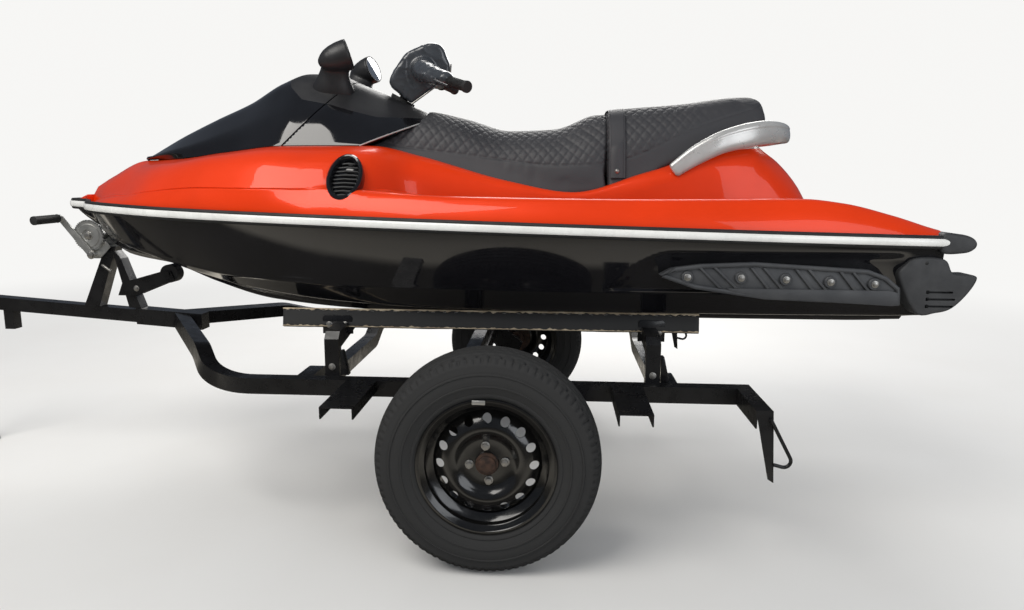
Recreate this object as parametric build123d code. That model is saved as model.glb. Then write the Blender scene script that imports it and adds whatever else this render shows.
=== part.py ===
from build123d import *
import math
import os

# Two-seat personal watercraft standing on its boat trailer.
# X runs aft, Y to starboard and Z up from the floor under the tyres, in millimetres.

# Craft, main sizes, its heights measured from a base line above the floor
CRAFT_LENGTH = 3130
BOW_X = -1160
HALF_BEAM = 610
BASE_Z = 515
RAIL_HEIGHT = 436
RAIL_FALL = 0.0245
STATIONS = (0.040, 0.055, 0.070, 0.100, 0.132, 0.162, 0.192, 0.228, 0.265, 0.317, 0.369, 0.425, 0.480, 0.540,
            0.600, 0.686, 0.772, 0.842, 0.880, 0.912, 0.935, 0.960)
STERN = STATIONS[-1]
REACH = 3000
GAP = 0.3

# Rub rail, footwells, storage bin and engine bay
RUBBER_DEPTH = 14
RUBBER_HEIGHT = 40
STRIP_DEPTH = 5
STRIP_HEIGHT = 22
RAIL_CAP_INNER = 330
WELL_FLOOR = 355
WELL_START = 0.44
GUNWALE_WIDTH = 95
MAT_THICKNESS = 6
MAT_MARGIN = 8
BIN_START = 0.165
BIN_END = 0.298
BIN_TOP = 720
MAT_END = 0.953
BIN_HALF_WIDTH = 120
ENGINE_LENGTH = 460
ENGINE_WIDTH = 340
ENGINE_HEIGHT = 240
ENGINE_FLOOR = 138
ENGINE_SHARE = 0.540
BAY_MARGIN = 20

# Hood, console and steering
HOOD_START = 0.111
HOOD_END = 0.310
HOOD_END_Z = 695
HOOD_LEAN = 0.84
HOOD_WALL = 14
HOOD_SPLIT = 6
CONSOLE_END = 0.447
STEER_X = 120
STEER_Z = 1335
STEER_LEAN = 28
STEER_TURN = 12
BAR_DIAMETER = 22
GRIP_DIAMETER = 34
GRIP_LENGTH = 125
PAD_WIDTH = 150
NECK_DIAMETER = 90
NECK_HEIGHT = 50
COLUMN_RADIUS = 16
COLUMN_REACH = 5
MIRROR_LENGTH = 108
MIRROR_RADIUS = 52
MIRROR_Y = 188
MIRROR_SHARE = 0.335
MIRROR_Z = 1494
MIRROR_FOOT_Y = 118
MIRROR_FOOT_Z = 1392
MIRROR_FOOT_RADIUS = 50
GRILLE_SHARE = 0.388
GRILLE_HALF_WIDTH = 54
GRILLE_HALF_HEIGHT = 88
GRILLE_INSET = 20
GRILLE_DROP = 45
GRILLE_RIM = 13
GRILLE_DEPTH = 24
GRILLE_SLATS = 5

# Seat and grab handle
SEAT_SPLIT = 0.650
SEAT_GAP = 4
STRAP_WIDTH = 32
STRAP_THICKNESS = 3
HANDLE_TUBE = 68
HANDLE_WALL = 22
HANDLE_BEND = 70

# Stern and jet drive
TUNNEL_HALF_WIDTH = 135
TUNNEL_LENGTH = 480
TUNNEL_TOP = 296
PUMP_RADIUS = 80
PUMP_CLEARANCE = 12
PLATE_THICKNESS = 8
NOZZLE_LENGTH = 90
NOZZLE_RADIUS = 62
NOZZLE_WALL = 4
OUTLET_RADIUS = 40
PIVOT_INSET = 55
PIVOT_PIN = 7
BUCKET_PIN = 8
BUCKET_INSET = 30
BUCKET_RADIUS = 120
BUCKET_WALL = 6
NOTCH_TOP = 341
NOTCH_LENGTH = 125
INTAKE_LENGTH = 430
INTAKE_HALF_WIDTH = 85
INTAKE_TOP = 225
GRATE_BARS = 5
GRATE_BAR = 12

# Trailer, main sizes
TUBE = 50
RAIL_Y = 570
RAIL_TOP = 480
FRAME_REAR_X = 1255
ELBOW_X = -365
ELBOW_RADIUS = 230
ARM_BEND = (-480, 400, 518)
ARM_END = 549
TONGUE_REAR_X = -655
TONGUE_FRONT_X = -1822.6
TONGUE_TOP = 568
TONGUE_X = -700
TONGUE_RISE = 4.15
SLEEVE_WALL = 6
SLEEVE_LENGTH = 260
CROSS_PLACES = ((-77, 50), (408, 0), (1061, 50))
BUNK_Y = 360
BUNK_WIDTH = 100
BUNK_THICKNESS = 45
BUNK_FRONT_X = -193
BUNK_LENGTH = 1365
POST_PLACES = (10, 1010)
POST_WIDTH = 45
POST_THICKNESS = 30

# Wheels and suspension
AXLE_X = 525
AXLE_Z = 318
WHEEL_Y = 790
TYRE_RADIUS = 318
TYRE_WIDTH = 185
RIM_FLANGE_RADIUS = 195
RIM_SEAT_RADIUS = 178
RIM_WELL_RADIUS = 158
RIM_WIDTH = 150
RIM_WALL = 4
DISC_OFFSET = 38
BOLT_CIRCLE = 100
BOLT_COUNT = 4
VENT_COUNT = 16
VENT_RADIUS = 13
VENT_CIRCLE = 262
HUB_RADIUS = 66
SPINDLE_RADIUS = 20
BEAM_X = 408
BEAM_Z = 395
ARM_Y = 655
ARM_THICKNESS = 28

# Winch stand, coupler, prop stand and brackets
POST_FOOT_X = -1092
POST_HEAD_X = -994
POST_HEAD_Z = 828
BRACE_FOOT_X = -920
ROLLER_X = -776
ROLLER_RADIUS = 35
WINCH_X = -1064
WINCH_Z = 872
DRUM_RADIUS = 26
GEAR_RADIUS = 56
CRANK_SHIFT = 14
CRANK_DROP = 72
WINCH_HALF_WIDTH = 42
PLATE = 4
COUPLER_LENGTH = 230
BALL_RADIUS = 25
STAND_SETBACK = 156
STAND_Y = 58
STAND_RADIUS = 22
FOOT_RADIUS = 54
GUARD_PLACES = (115, 927)
GUARD_WIDTH = 94
GUARD_DROP = 34
GUARD_REACH = 865
GUARD_HOLE = 5.5
GUARD_HOLE_INSET = 55
LAMP_REACH = 810
LAMP_WIDTH = 46
LAMP_DROP = 205
LAMP_HOLE_INSETS = (160, 80)
LAMP_HOLE_DROP = 28
LAMP_HOLE_RADIUS = 3.25
ROD_DIAMETER = 10

# Hull lines: share of length, half beam, keel rise, chine y, chine z, crease y, crease z,
# with widths as shares of the half beam and heights above the base line
HULL = (
    (0.040, 0.115, 385, 0.040, 398, 0.070, 420),
    (0.070, 0.350, 288, 0.110, 320, 0.215, 372),
    (0.132, 0.575, 245, 0.245, 288, 0.405, 322),
    (0.192, 0.725, 176, 0.345, 242, 0.540, 287),
    (0.265, 0.835, 112, 0.490, 206, 0.680, 262),
    (0.369, 0.925, 86, 0.640, 180, 0.790, 248),
    (0.480, 0.980, 76, 0.720, 169, 0.852, 244),
    (0.600, 1.000, 75, 0.738, 167, 0.869, 242),
    (0.772, 0.985, 75, 0.738, 167, 0.869, 241),
    (0.912, 0.925, 75, 0.738, 170, 0.845, 241),
    (0.985, 0.862, 80, 0.730, 174, 0.800, 242),
)
# Deck side: share of length, gunwale height above the base line
GUNWALE = (
    (0.040, 492), (0.109, 522), (0.250, 560), (0.369, 550), (0.500, 528), (0.660, 524),
    (0.826, 528), (0.865, 516), (0.914, 480), (0.955, 442), (0.985, 420),
)
# Saddle: share, base y share, flank z, shoulder y share, shoulder z, top y share, top z
SADDLE = (
    (0.040, 0.105, 500, 0.040, 520, 0.020, 541),
    (0.066, 0.240, 520, 0.150, 552, 0.060, 581),
    (0.109, 0.430, 555, 0.280, 596, 0.080, 638),
    (0.170, 0.650, 585, 0.520, 612, 0.300, 642),
    (0.240, 0.780, 600, 0.680, 640, 0.440, 664),
    (0.312, 0.870, 600, 0.740, 656, 0.550, 683),
    (0.400, 0.800, 590, 0.680, 655, 0.520, 685),
    (0.447, 0.600, 545, 0.560, 600, 0.470, 655),
    (0.545, 0.520, 480, 0.510, 520, 0.480, 572),
    (0.614, 0.510, 470, 0.500, 500, 0.490, 537),
    (0.686, 0.520, 500, 0.500, 560, 0.465, 599),
    (0.722, 0.530, 520, 0.490, 600, 0.430, 636),
    (0.744, 0.530, 520, 0.480, 640, 0.390, 694),
    (0.775, 0.530, 520, 0.470, 660, 0.330, 748),
    (0.800, 0.520, 500, 0.450, 650, 0.300, 765),
    (0.812, 0.510, 490, 0.440, 630, 0.290, 700),
    (0.835, 0.500, 470, 0.430, 560, 0.280, 645),
    (0.856, 0.480, 440, 0.420, 490, 0.270, 575),
    (0.872, 0.460, 400, 0.410, 430, 0.260, 490),
)
# Hood and console: share, side y and crown y as shares of the half beam, side rise, crown z
CROWN = (
    (0.111, 0.100, 0.040, 6, 650),
    (0.164, 0.280, 0.120, 28, 731),
    (0.205, 0.345, 0.145, 45, 789),
    (0.246, 0.380, 0.160, 66, 844),
    (0.285, 0.420, 0.175, 84, 913),
    (0.315, 0.440, 0.180, 95, 943),
    (0.345, 0.440, 0.175, 96, 940),
    (0.375, 0.410, 0.160, 92, 905),
    (0.410, 0.370, 0.150, 86, 860),
    (0.450, 0.330, 0.140, 95, 805),
)
# Seat: share, underside y, waist y and top y as shares of the half beam, top z, underside z
SEAT = (
    (0.400, 0.420, 0.360, 0.230, 800, 662),
    (0.447, 0.400, 0.350, 0.220, 812, 630),
    (0.492, 0.410, 0.350, 0.220, 786, 590),
    (0.543, 0.430, 0.370, 0.240, 745, 548),
    (0.592, 0.440, 0.390, 0.260, 751, 520),
    (0.648, 0.430, 0.380, 0.260, 814, 535),
    (0.731, 0.380, 0.340, 0.240, 837, 645),
    (0.790, 0.300, 0.280, 0.200, 862, 735),
    (0.815, 0.260, 0.240, 0.160, 866, 768),
    (0.828, 0.230, 0.200, 0.110, 852, 772),
)
# Side outlines as share of length and height: joint of console and seat, sponson, corner cap, rail end cap
SEAT_JOINT = ((0.330, 600), (0.390, 685), (0.452, 773), (0.446, 813), (0.440, 900))
SPONSON = ((0.694, 303), (0.705, 324), (0.731, 336), (0.781, 344), (0.887, 324), (0.904, 303), (0.916, 270),
           (0.917, 222), (0.792, 237), (0.725, 268))
CORNER_CAP = ((0.918, 301), (0.923, 340), (0.931, 358), (0.958, 354), (0.967, 312), (0.984, 309), (0.989, 298),
              (0.980, 255), (0.969, 213), (0.955, 197), (0.943, 197))
RAIL_CAP = ((STERN, 378), (STERN, 428), (0.970, 429), (0.982, 418), (0.986, 404), (0.984, 386), (0.975, 374))
# Middle line of the grab handle's starboard half: share of length, y at this half beam, height
HANDLE_BEAM = 610
HANDLE = ((0.715, 300, 590), (0.765, 296, 690), (0.806, 262, 728), (0.846, 150, 735))
# Starboard half of the straight handlebar before it is turned, and the side outline of its pad: x, (y,) z
BAR = ((346, 366, 1420), (290, 262, 1440), (205, 115, 1474))
PAD = ((94, 1450), (160, 1542), (246, 1575), (285, 1566), (314, 1500), (311, 1460), (172, 1362), (96, 1425))


def place(share):
    """X of a share of the craft's length, from bow tip to stern."""
    return BOW_X + share * CRAFT_LENGTH


def rail_z(x):
    """Height of the joint between hull and deck."""
    return BASE_Z + RAIL_HEIGHT - RAIL_FALL * (x - place(0.55))


def smooth(table, column, share):
    """Value of a table's column at a share, eased between its rows without overshoot."""
    if share <= table[0][0]:
        return table[0][column]
    if share >= table[-1][0]:
        return table[-1][column]
    k = max(i for i in range(len(table) - 1) if table[i][0] <= share)

    def pitch(i):
        return (table[i + 1][column] - table[i][column]) / (table[i + 1][0] - table[i][0])

    def tangent(i):
        if i in (0, len(table) - 1):
            return pitch(min(i, len(table) - 2))
        before, after = pitch(i - 1), pitch(i)
        return 0 if before * after <= 0 else 2 * before * after / (before + after)

    width = table[k + 1][0] - table[k][0]
    t = (share - table[k][0]) / width
    rise = (1 - t) ** 2 * (1 + 2 * t) * table[k][column] + t * t * (3 - 2 * t) * table[k + 1][column]
    return rise + width * (t * (1 - t) ** 2 * tangent(k) - t * t * (1 - t) * tangent(k + 1))


def shares(first, last, count):
    """Even shares of the length from first to last."""
    return [first + (last - first) * i / (count - 1) for i in range(count)]


def frame_at(x, half):
    """Closed outline across the craft from the starboard half's points, centre line first."""
    port = [(x, -y, z) for y, z in reversed(half) if y > 0]
    return Wire.make_polygon([Vector(x, y, z) for y, z in half] + [Vector(*p) for p in port], close=True)


def skin(outlines):
    """Solid through a row of outlines."""
    return Solid.make_loft(outlines, ruled=True)


def block(x0, x1, y0, y1, z0, z1):
    """Box between opposite corners."""
    return Pos((x0 + x1) / 2, (y0 + y1) / 2, (z0 + z1) / 2) * Box(x1 - x0, y1 - y0, z1 - z0)


def rod(start, end, radius):
    """Round bar from start to end."""
    way = Vector(*end) - Vector(*start)
    return Solid.make_cylinder(radius, way.length, Plane(origin=Vector(*start), z_dir=way))


def bent_path(points, radius):
    """Straight runs joined by tangent arcs of one radius."""
    spots = [Vector(*p) for p in points]
    edges, start = [], spots[0]
    for before, corner, after in zip(spots, spots[1:], spots[2:]):
        back, ahead = (before - corner).normalized(), (after - corner).normalized()
        half_angle = math.radians(back.get_angle(ahead)) / 2
        reach = radius / math.tan(half_angle)
        middle = (back + ahead).normalized()
        near = corner + middle * (radius / math.sin(half_angle) - radius)
        edges.append(Edge.make_line(start, corner + back * reach))
        edges.append(Edge.make_three_point_arc(corner + back * reach, near, corner + ahead * reach))
        start = corner + ahead * reach
    edges.append(Edge.make_line(start, spots[-1]))
    return Wire(edges)


def tube(points, radius, section, up=(0, 0, 1)):
    """Bar of a given section along a bent path."""
    path = bent_path(points, radius) if len(points) > 2 else Wire([Edge.make_line(*[Vector(*p) for p in points])])
    way = path.tangent_at(0)
    side = Vector(*up).cross(way)
    face = Plane(origin=Vector(*points[0]), x_dir=side, z_dir=way) * section
    return sweep(face, path=path)


def mirrored(solid):
    """The solid and its twin across the centre plane."""
    return [solid, mirror(solid, about=Plane.XZ)]


def together(solids):
    """Several solids that share a node."""
    return Compound(children=[s if isinstance(s, Solid) else s.solid() for s in solids])


def plate_xz(points, y0, y1):
    """Plate with a side outline, from y0 to y1."""
    wire = Wire.make_polygon([Vector(x, y0, z) for x, z in points], close=True)
    return Solid.extrude(Face(wire), Vector(0, y1 - y0, 0))


def plate_yz(points, x0, x1):
    """Plate with an outline across the craft, from x0 to x1."""
    wire = Wire.make_polygon([Vector(x0, y, z) for y, z in points], close=True)
    return Solid.extrude(Face(wire), Vector(x1 - x0, 0, 0))


def edge_y(share):
    """Half beam at the rail as built, straight between stations."""
    k = max(i for i in range(len(STATIONS) - 1) if STATIONS[i] <= max(share, STATIONS[0]))
    low, high = STATIONS[k], STATIONS[k + 1]
    near, far = smooth(HULL, 1, low) * HALF_BEAM, smooth(HULL, 1, high) * HALF_BEAM
    return near + (far - near) * (share - low) / (high - low)


def hull_row(share, grow=0.0):
    """Half outline of the hull at a share of the length, grown outward where asked."""
    beam, keel, chine_y, chine_z, crease_y, crease_z = (smooth(HULL, c, share) for c in range(1, 7))
    top = rail_z(place(share))
    return [
        (0, BASE_Z + keel - grow), (chine_y * HALF_BEAM + grow, BASE_Z + chine_z - grow),
        (crease_y * HALF_BEAM + grow, BASE_Z + crease_z - grow), (beam * HALF_BEAM + grow, top), (0, top),
    ]


def hull_form(grow=0.0):
    return skin([frame_at(place(s), hull_row(s, grow)) for s in STATIONS])


def saddle_row(share, floor, grow=0.0):
    """Half outline of the raised middle of the deck, grown outward where asked."""
    base_y, shoulder_low, shoulder_y, shoulder_z, top_y, top_z = (smooth(SADDLE, c, share) for c in range(1, 7))
    base = min(base_y * HALF_BEAM, edge_y(share) - 3) + grow
    return [
        (0, floor), (base, floor), (base - 1, max(BASE_Z + shoulder_low - 60, floor + 3)),
        (shoulder_y * HALF_BEAM + grow, BASE_Z + shoulder_z + grow), (top_y * HALF_BEAM + grow, BASE_Z + top_z + grow),
        (0, BASE_Z + top_z + grow),
    ]


def saddle_form(grow=0.0):
    """Raised middle of the deck, carried down to the footwell floor behind the bow."""
    outlines = []
    for share in sorted({row[0] for row in SADDLE} | set(shares(0.13, 0.38, 5))):
        floor = rail_z(place(share)) if share < WELL_START - 0.04 else BASE_Z + WELL_FLOOR - 5
        outlines.append(frame_at(place(share), saddle_row(share, floor, grow)))
    return skin(outlines)


def gunwale_form():
    """Low body of the deck from the rail joint up to the gunwales."""
    outlines = []
    for share in STATIONS:
        beam, low, top = smooth(HULL, 1, share) * HALF_BEAM, rail_z(place(share)), BASE_Z + smooth(GUNWALE, 1, share)
        inset = min(42, beam / 3)
        outlines.append(frame_at(place(share), [(0, low), (beam, low), (beam - inset, top), (0, top)]))
    return skin(outlines)


def well_outline(margin, start, end):
    """Plan of the footwells and the platform between them, starboard side then port side."""
    side = [(place(s), smooth(HULL, 1, s) * HALF_BEAM - GUNWALE_WIDTH - margin) for s in shares(start, end, 8)]
    nose = (side[0][0], side[0][1] - 60)
    return [nose, (side[0][0] + 60, side[0][1] - 5)] + side[1:]


def well_form(margin=0.0, height=400.0, base=WELL_FLOOR, end=1.02):
    """Room of the footwells: open above and at the stern, closed round the saddle."""
    half = well_outline(margin, WELL_START, min(end, 1.0))
    half[-1] = (place(end), half[-1][1])
    points = half + [(x, -y) for x, y in reversed(half)]
    wire = Wire.make_polygon([Vector(x, y, BASE_Z + base) for x, y in points], close=True)
    return Solid.extrude(Face(wire), Vector(0, 0, height))


def upper_half():
    """Everything above the joint between hull and deck."""
    x0, x1 = place(-0.1), place(1.1)
    return plate_xz([(x0, rail_z(x0)), (x1, rail_z(x1)), (x1, 2500), (x0, 2500)], -900, 900)


def bottom_z(y):
    """Height of the hull's bottom amidships at a distance from the centre plane."""
    return BASE_Z + HULL[7][2] + y * bunk_slope()


def tunnel_form():
    """Room of the jet drive under the stern and its intake ahead of it."""
    aft, front, top = place(STERN) + 50, place(STERN) - TUNNEL_LENGTH, BASE_Z + INTAKE_TOP
    room = block(front, aft, -TUNNEL_HALF_WIDTH, TUNNEL_HALF_WIDTH, BASE_Z, BASE_Z + TUNNEL_TOP)
    duct = plate_xz([(front - INTAKE_LENGTH, BASE_Z), (front + 1, BASE_Z), (front + 1, top), (front - 60, top),
                     (front - INTAKE_LENGTH, bottom_z(0) + 4)], -INTAKE_HALF_WIDTH, INTAKE_HALF_WIDTH)
    notch = block(aft - 50 - NOTCH_LENGTH, aft, -TUNNEL_HALF_WIDTH, TUNNEL_HALF_WIDTH, BASE_Z, BASE_Z + NOTCH_TOP)
    return room + duct + notch


def engine_box(margin):
    middle, floor = place(ENGINE_SHARE), BASE_Z + ENGINE_FLOOR
    return block(middle - ENGINE_LENGTH / 2 - margin, middle + ENGINE_LENGTH / 2 + margin,
                 -ENGINE_WIDTH / 2 - margin, ENGINE_WIDTH / 2 + margin, floor, floor + ENGINE_HEIGHT + margin)


def hull(well):
    return hull_form() - well - tunnel_form() - engine_box(BAY_MARGIN)


def bin_form():
    """Storage bin under the hood."""
    low = rail_z(place(BIN_END)) + 12
    return block(place(BIN_START), place(BIN_END), -BIN_HALF_WIDTH, BIN_HALF_WIDTH, low, BASE_Z + BIN_TOP)


def grille_plane(side):
    """Face of the round side grille on the deck's flank, looking outward."""
    share = GRILLE_SHARE
    low_y = smooth(HULL, 1, share) * HALF_BEAM - GRILLE_INSET
    low_z = BASE_Z + smooth(GUNWALE, 1, share) - GRILLE_DROP
    high_y, high_z = smooth(SADDLE, 3, share) * HALF_BEAM, BASE_Z + smooth(SADDLE, 4, share)
    lean = Vector(0, side * (low_y - high_y), low_z - high_z)
    out = Vector(1, 0, 0).cross(lean) * side
    centre = Vector(place(share), side * (low_y + high_y) / 2, (low_z + high_z) / 2)
    return Plane(origin=centre, x_dir=Vector(1, 0, 0), z_dir=out if out.Z > 0 else out * -1)


def grille_pocket(side):
    face = grille_plane(side) * Ellipse(GRILLE_HALF_WIDTH + GAP, GRILLE_HALF_HEIGHT + GAP)
    return extrude(face, amount=GRILLE_DEPTH + 60, both=True) & extrude(
        grille_plane(side).offset(-GRILLE_DEPTH) * Rectangle(400, 400), amount=200)


def grille(side):
    """Round side grille: a proud rim round level slats."""
    plane = grille_plane(side).offset(-GRILLE_DEPTH + GAP)
    outer = plane * Ellipse(GRILLE_HALF_WIDTH, GRILLE_HALF_HEIGHT)
    inner = plane * Ellipse(GRILLE_HALF_WIDTH - GRILLE_RIM, GRILLE_HALF_HEIGHT - GRILLE_RIM)
    shape = extrude(outer, amount=GRILLE_DEPTH + 14) - extrude(inner, amount=GRILLE_DEPTH + 60)
    pitch = 2 * (GRILLE_HALF_HEIGHT - GRILLE_RIM) / GRILLE_SLATS
    room = extrude(plane * Ellipse(GRILLE_HALF_WIDTH - 4, GRILLE_HALF_HEIGHT - 4), amount=GRILLE_DEPTH)
    for i in range(GRILLE_SLATS):
        y = -GRILLE_HALF_HEIGHT + GRILLE_RIM + pitch * (i + 0.5)
        slat = extrude(plane * Pos(0, y) * Rectangle(2 * GRILLE_HALF_WIDTH, pitch * 0.35), amount=GRILLE_DEPTH - 4)
        shape = shape + (slat & room)
    backing = extrude(outer, amount=5)
    return shape + backing


def deck(well, saddle):
    body = (gunwale_form() - well) + (saddle & upper_half())
    body = body - bin_form()
    for side in (-1, 1):
        body = body - grille_pocket(side)
    return body


def rail_ring(inner, outer, height):
    """Ring on the joint line, between two offsets of the hull's edge."""
    half = [(place(s), edge_y(s)) for s in STATIONS]
    nose = [(place(0.010), 16), (place(0.020), 34)]
    points = [(x, -y) for x, y in reversed(half)] + [(x, -y) for x, y in reversed(nose)] + nose + half
    wire = Wire.make_polygon([Vector(x, y, rail_z(x)) for x, y in points], close=True)
    up = Vector(0, 0, 1)
    rings = [Face(wire.offset_2d(d, kind=Kind.INTERSECTION)) for d in (outer, inner)]
    rings = [face if face.normal_at().Z > 0 else -face for face in rings]
    solids = [Solid.extrude(face.moved(Location(up * (-height / 2))), up * height) for face in rings]
    return solids[0] - solids[1]


def aft_of(x):
    return block(x, x + REACH, -REACH / 2, REACH / 2, 0, REACH)


def rub_rail():
    return rail_ring(GAP, RUBBER_DEPTH, RUBBER_HEIGHT) - aft_of(place(STERN))


def rub_strip():
    return rail_ring(RUBBER_DEPTH + GAP, RUBBER_DEPTH + STRIP_DEPTH, STRIP_HEIGHT) - aft_of(place(STERN))


def side_outline(table):
    """Points of a side outline from its table."""
    return [(place(share), BASE_Z + z) for share, z in table]


def rail_end_cap():
    """Corner bumper that ends the rub rail behind the stern."""
    outer = edge_y(STERN) + RUBBER_DEPTH + STRIP_DEPTH
    return plate_xz([(x + GAP, z) for x, z in side_outline(RAIL_CAP)], RAIL_CAP_INNER, outer)


def crown_form(first, last, count, shrink=0.0):
    """Hood and console: a crowned cover standing on the saddle's flat top."""
    outlines = []
    for share in shares(first, last, count):
        side_y, crown_y, rise, crown_z = (smooth(CROWN, c, share) for c in range(1, 5))
        top_y, seat = smooth(SADDLE, 5, share) * HALF_BEAM, BASE_Z + smooth(SADDLE, 6, share)
        low = seat - 20
        outlines.append(frame_at(place(share), [
            (0, low), (max(top_y - 8 - shrink, 4), low),
            (max(side_y * HALF_BEAM - shrink, 3), seat + max(rise - shrink, 2)),
            (max(crown_y * HALF_BEAM - shrink, 2), BASE_Z + crown_z - shrink), (0, BASE_Z + crown_z - shrink)]))
    return skin(outlines)


def aft_of_line(points, offset=0.0):
    """Everything aft of a side outline's line across the craft."""
    line = [(x + offset, z) for x, z in points]
    return plate_xz(line + [(REACH, line[-1][1]), (REACH, line[0][1])], -REACH / 2, REACH / 2)


def aft_of_hood(offset):
    """Everything aft of the leaning joint between hood and console."""
    x, z = place(HOOD_END) + offset, BASE_Z + HOOD_END_Z
    return aft_of_line([(x + HOOD_LEAN * dz, z + dz) for dz in (-CRAFT_LENGTH / 10, CRAFT_LENGTH / 10)])


def hood(saddle_grown):
    """Hinged hood over the storage bin, hollow underneath."""
    outer = crown_form(HOOD_START, CONSOLE_END, 15) - saddle_grown - aft_of_hood(-HOOD_SPLIT / 2)
    inner = crown_form(HOOD_START + 0.03, CONSOLE_END - 0.02, 12, HOOD_WALL)
    inner = inner - aft_of_hood(-HOOD_SPLIT / 2 - HOOD_WALL)
    return outer - inner


def console_form(shrink=0.0):
    return crown_form(HOOD_START, CONSOLE_END, 15, shrink)


def console(saddle_grown):
    """Fixed cover between hood and seat."""
    seat_room = aft_of_line(side_outline(SEAT_JOINT), -GAP)
    piece = (console_form() & aft_of_hood(HOOD_SPLIT / 2)) - saddle_grown - seat_room
    return piece.solids().sort_by(SortBy.VOLUME)[-1]


def seat_form(saddle_grown):
    """Both cushions as one, moulded to the saddle under them."""
    outlines = []
    rows = sorted({row[0] for row in SEAT} | {row[0] for row in SADDLE if SEAT[0][0] < row[0] < SEAT[-1][0]})
    rows[0] = rows[0] - 0.012
    for share in rows:
        under_y, waist_y, top_y, top_z, low_z = (smooth(SEAT, c, share) for c in range(1, 6))
        low, top = BASE_Z + low_z, BASE_Z + top_z
        outlines.append(frame_at(place(share), [
            (0, low), (under_y * HALF_BEAM, low), (waist_y * HALF_BEAM, low + (top - low) * 0.6),
            (top_y * HALF_BEAM, top - 8), (top_y * HALF_BEAM * 0.5, top), (0, top)]))
    return skin(outlines) - saddle_grown


def seat_front(form):
    split = place(SEAT_SPLIT)
    piece = (form & aft_of_line(side_outline(SEAT_JOINT))) - aft_of(split - SEAT_GAP / 2)
    return piece.solids().sort_by(SortBy.VOLUME)[-1]


def seat_rear(form):
    return form & aft_of(place(SEAT_SPLIT) + SEAT_GAP / 2)


def seat_strap(form):
    """Strap across the seat where its two cushions meet."""
    split = place(SEAT_SPLIT)
    room = block(split - 200, split + 200, -REACH / 2, REACH / 2, 0, REACH)
    piece = form & room
    lifted = Pos(0, 0, STRAP_THICKNESS) * piece
    band = block(split - STRAP_WIDTH / 2, split + STRAP_WIDTH / 2, -REACH / 2, REACH / 2, 0, REACH)
    return ((lifted - (Pos(0, 0, GAP) * piece)) & band)


def grab_handle(saddle_grown):
    """Bowed handle round the rear of the seat, one deep bar, its ends seated on the saddle."""
    half = [(place(share), y * HALF_BEAM / HANDLE_BEAM, BASE_Z + z) for share, y, z in HANDLE]
    points = half + [(x, -y, z) for x, y, z in reversed(half)]
    path = bent_path(points, HANDLE_BEND)
    start, way = Vector(*points[0]), path.tangent_at(0)
    section = Plane(origin=start, x_dir=way.cross(Vector(0, 0, 1)), z_dir=way) * RectangleRounded(
        HANDLE_WALL, HANDLE_TUBE, 9)
    return sweep(section, path=path) - saddle_grown


def sponson(form):
    """Stabiliser blade on the hull's side."""
    return plate_xz(side_outline(SPONSON), 380, HALF_BEAM - 14) - form


def stern_corner_cap(form):
    """Corner moulding under the stern with three slots, a fin behind the hull."""
    body = plate_xz(side_outline(CORNER_CAP), 330, HALF_BEAM - 52) - form
    body = body - block(place(STERN) + 12, place(STERN) + 300, 0, HALF_BEAM - 120, BASE_Z, BASE_Z + 500)
    for i in range(3):
        z = BASE_Z + 214 + 21 * i
        body = body - block(place(0.944), place(0.972), HALF_BEAM - 70, HALF_BEAM, z, z + 7)
    return body


def deck_mats(well):
    """Mats on the footwell and platform floor."""
    return well & well_form(MAT_MARGIN, MAT_THICKNESS, WELL_FLOOR + GAP, MAT_END)


def pump_z():
    return bottom_z(TUNNEL_HALF_WIDTH) + PLATE_THICKNESS + PUMP_CLEARANCE + PUMP_RADIUS


def pivot_x():
    """X of the upright pivot of the nozzle."""
    return place(STERN) - PIVOT_INSET


def bucket_z():
    """Height of the level pivot of the reverse bucket."""
    return pump_z() + 6


def jet_pump():
    """Pump housing, its tapering stator and the outlet that the nozzle pivots on."""
    start, end, z = place(STERN) - TUNNEL_LENGTH + GAP, pivot_x() - 130, pump_z()
    body = rod((start, 0, z), (end, 0, z), PUMP_RADIUS)
    body = body + rod((end - 90, 0, z), (end - 60, 0, z), PUMP_RADIUS + 6)
    cone = Solid.make_cone(PUMP_RADIUS - 6, OUTLET_RADIUS + 6, 70, Plane(origin=(end, 0, z), z_dir=(1, 0, 0)))
    body = body + cone + rod((end + 60, 0, z), (pivot_x() + 10, 0, z), OUTLET_RADIUS)
    body = body + rod((pivot_x(), 0, z - NOZZLE_RADIUS - 5), (pivot_x(), 0, z + NOZZLE_RADIUS + 5), PIVOT_PIN)
    x = pivot_x() - BUCKET_INSET
    for side in (-1, 1):
        y0, y1 = sorted((side * (PUMP_RADIUS - 6), side * (PUMP_RADIUS + 2)))
        body = body + block(end - 80, x + 20, y0, y1, z - 14, z + 26)
        inner, outer = side * (PUMP_RADIUS - 2), side * (PUMP_RADIUS + 22)
        body = body + rod((x, inner, bucket_z()), (x, outer, bucket_z()), BUCKET_PIN)
    return body - rod((end + 20, 0, z), (pivot_x() + 20, 0, z), OUTLET_RADIUS - 5)


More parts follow.
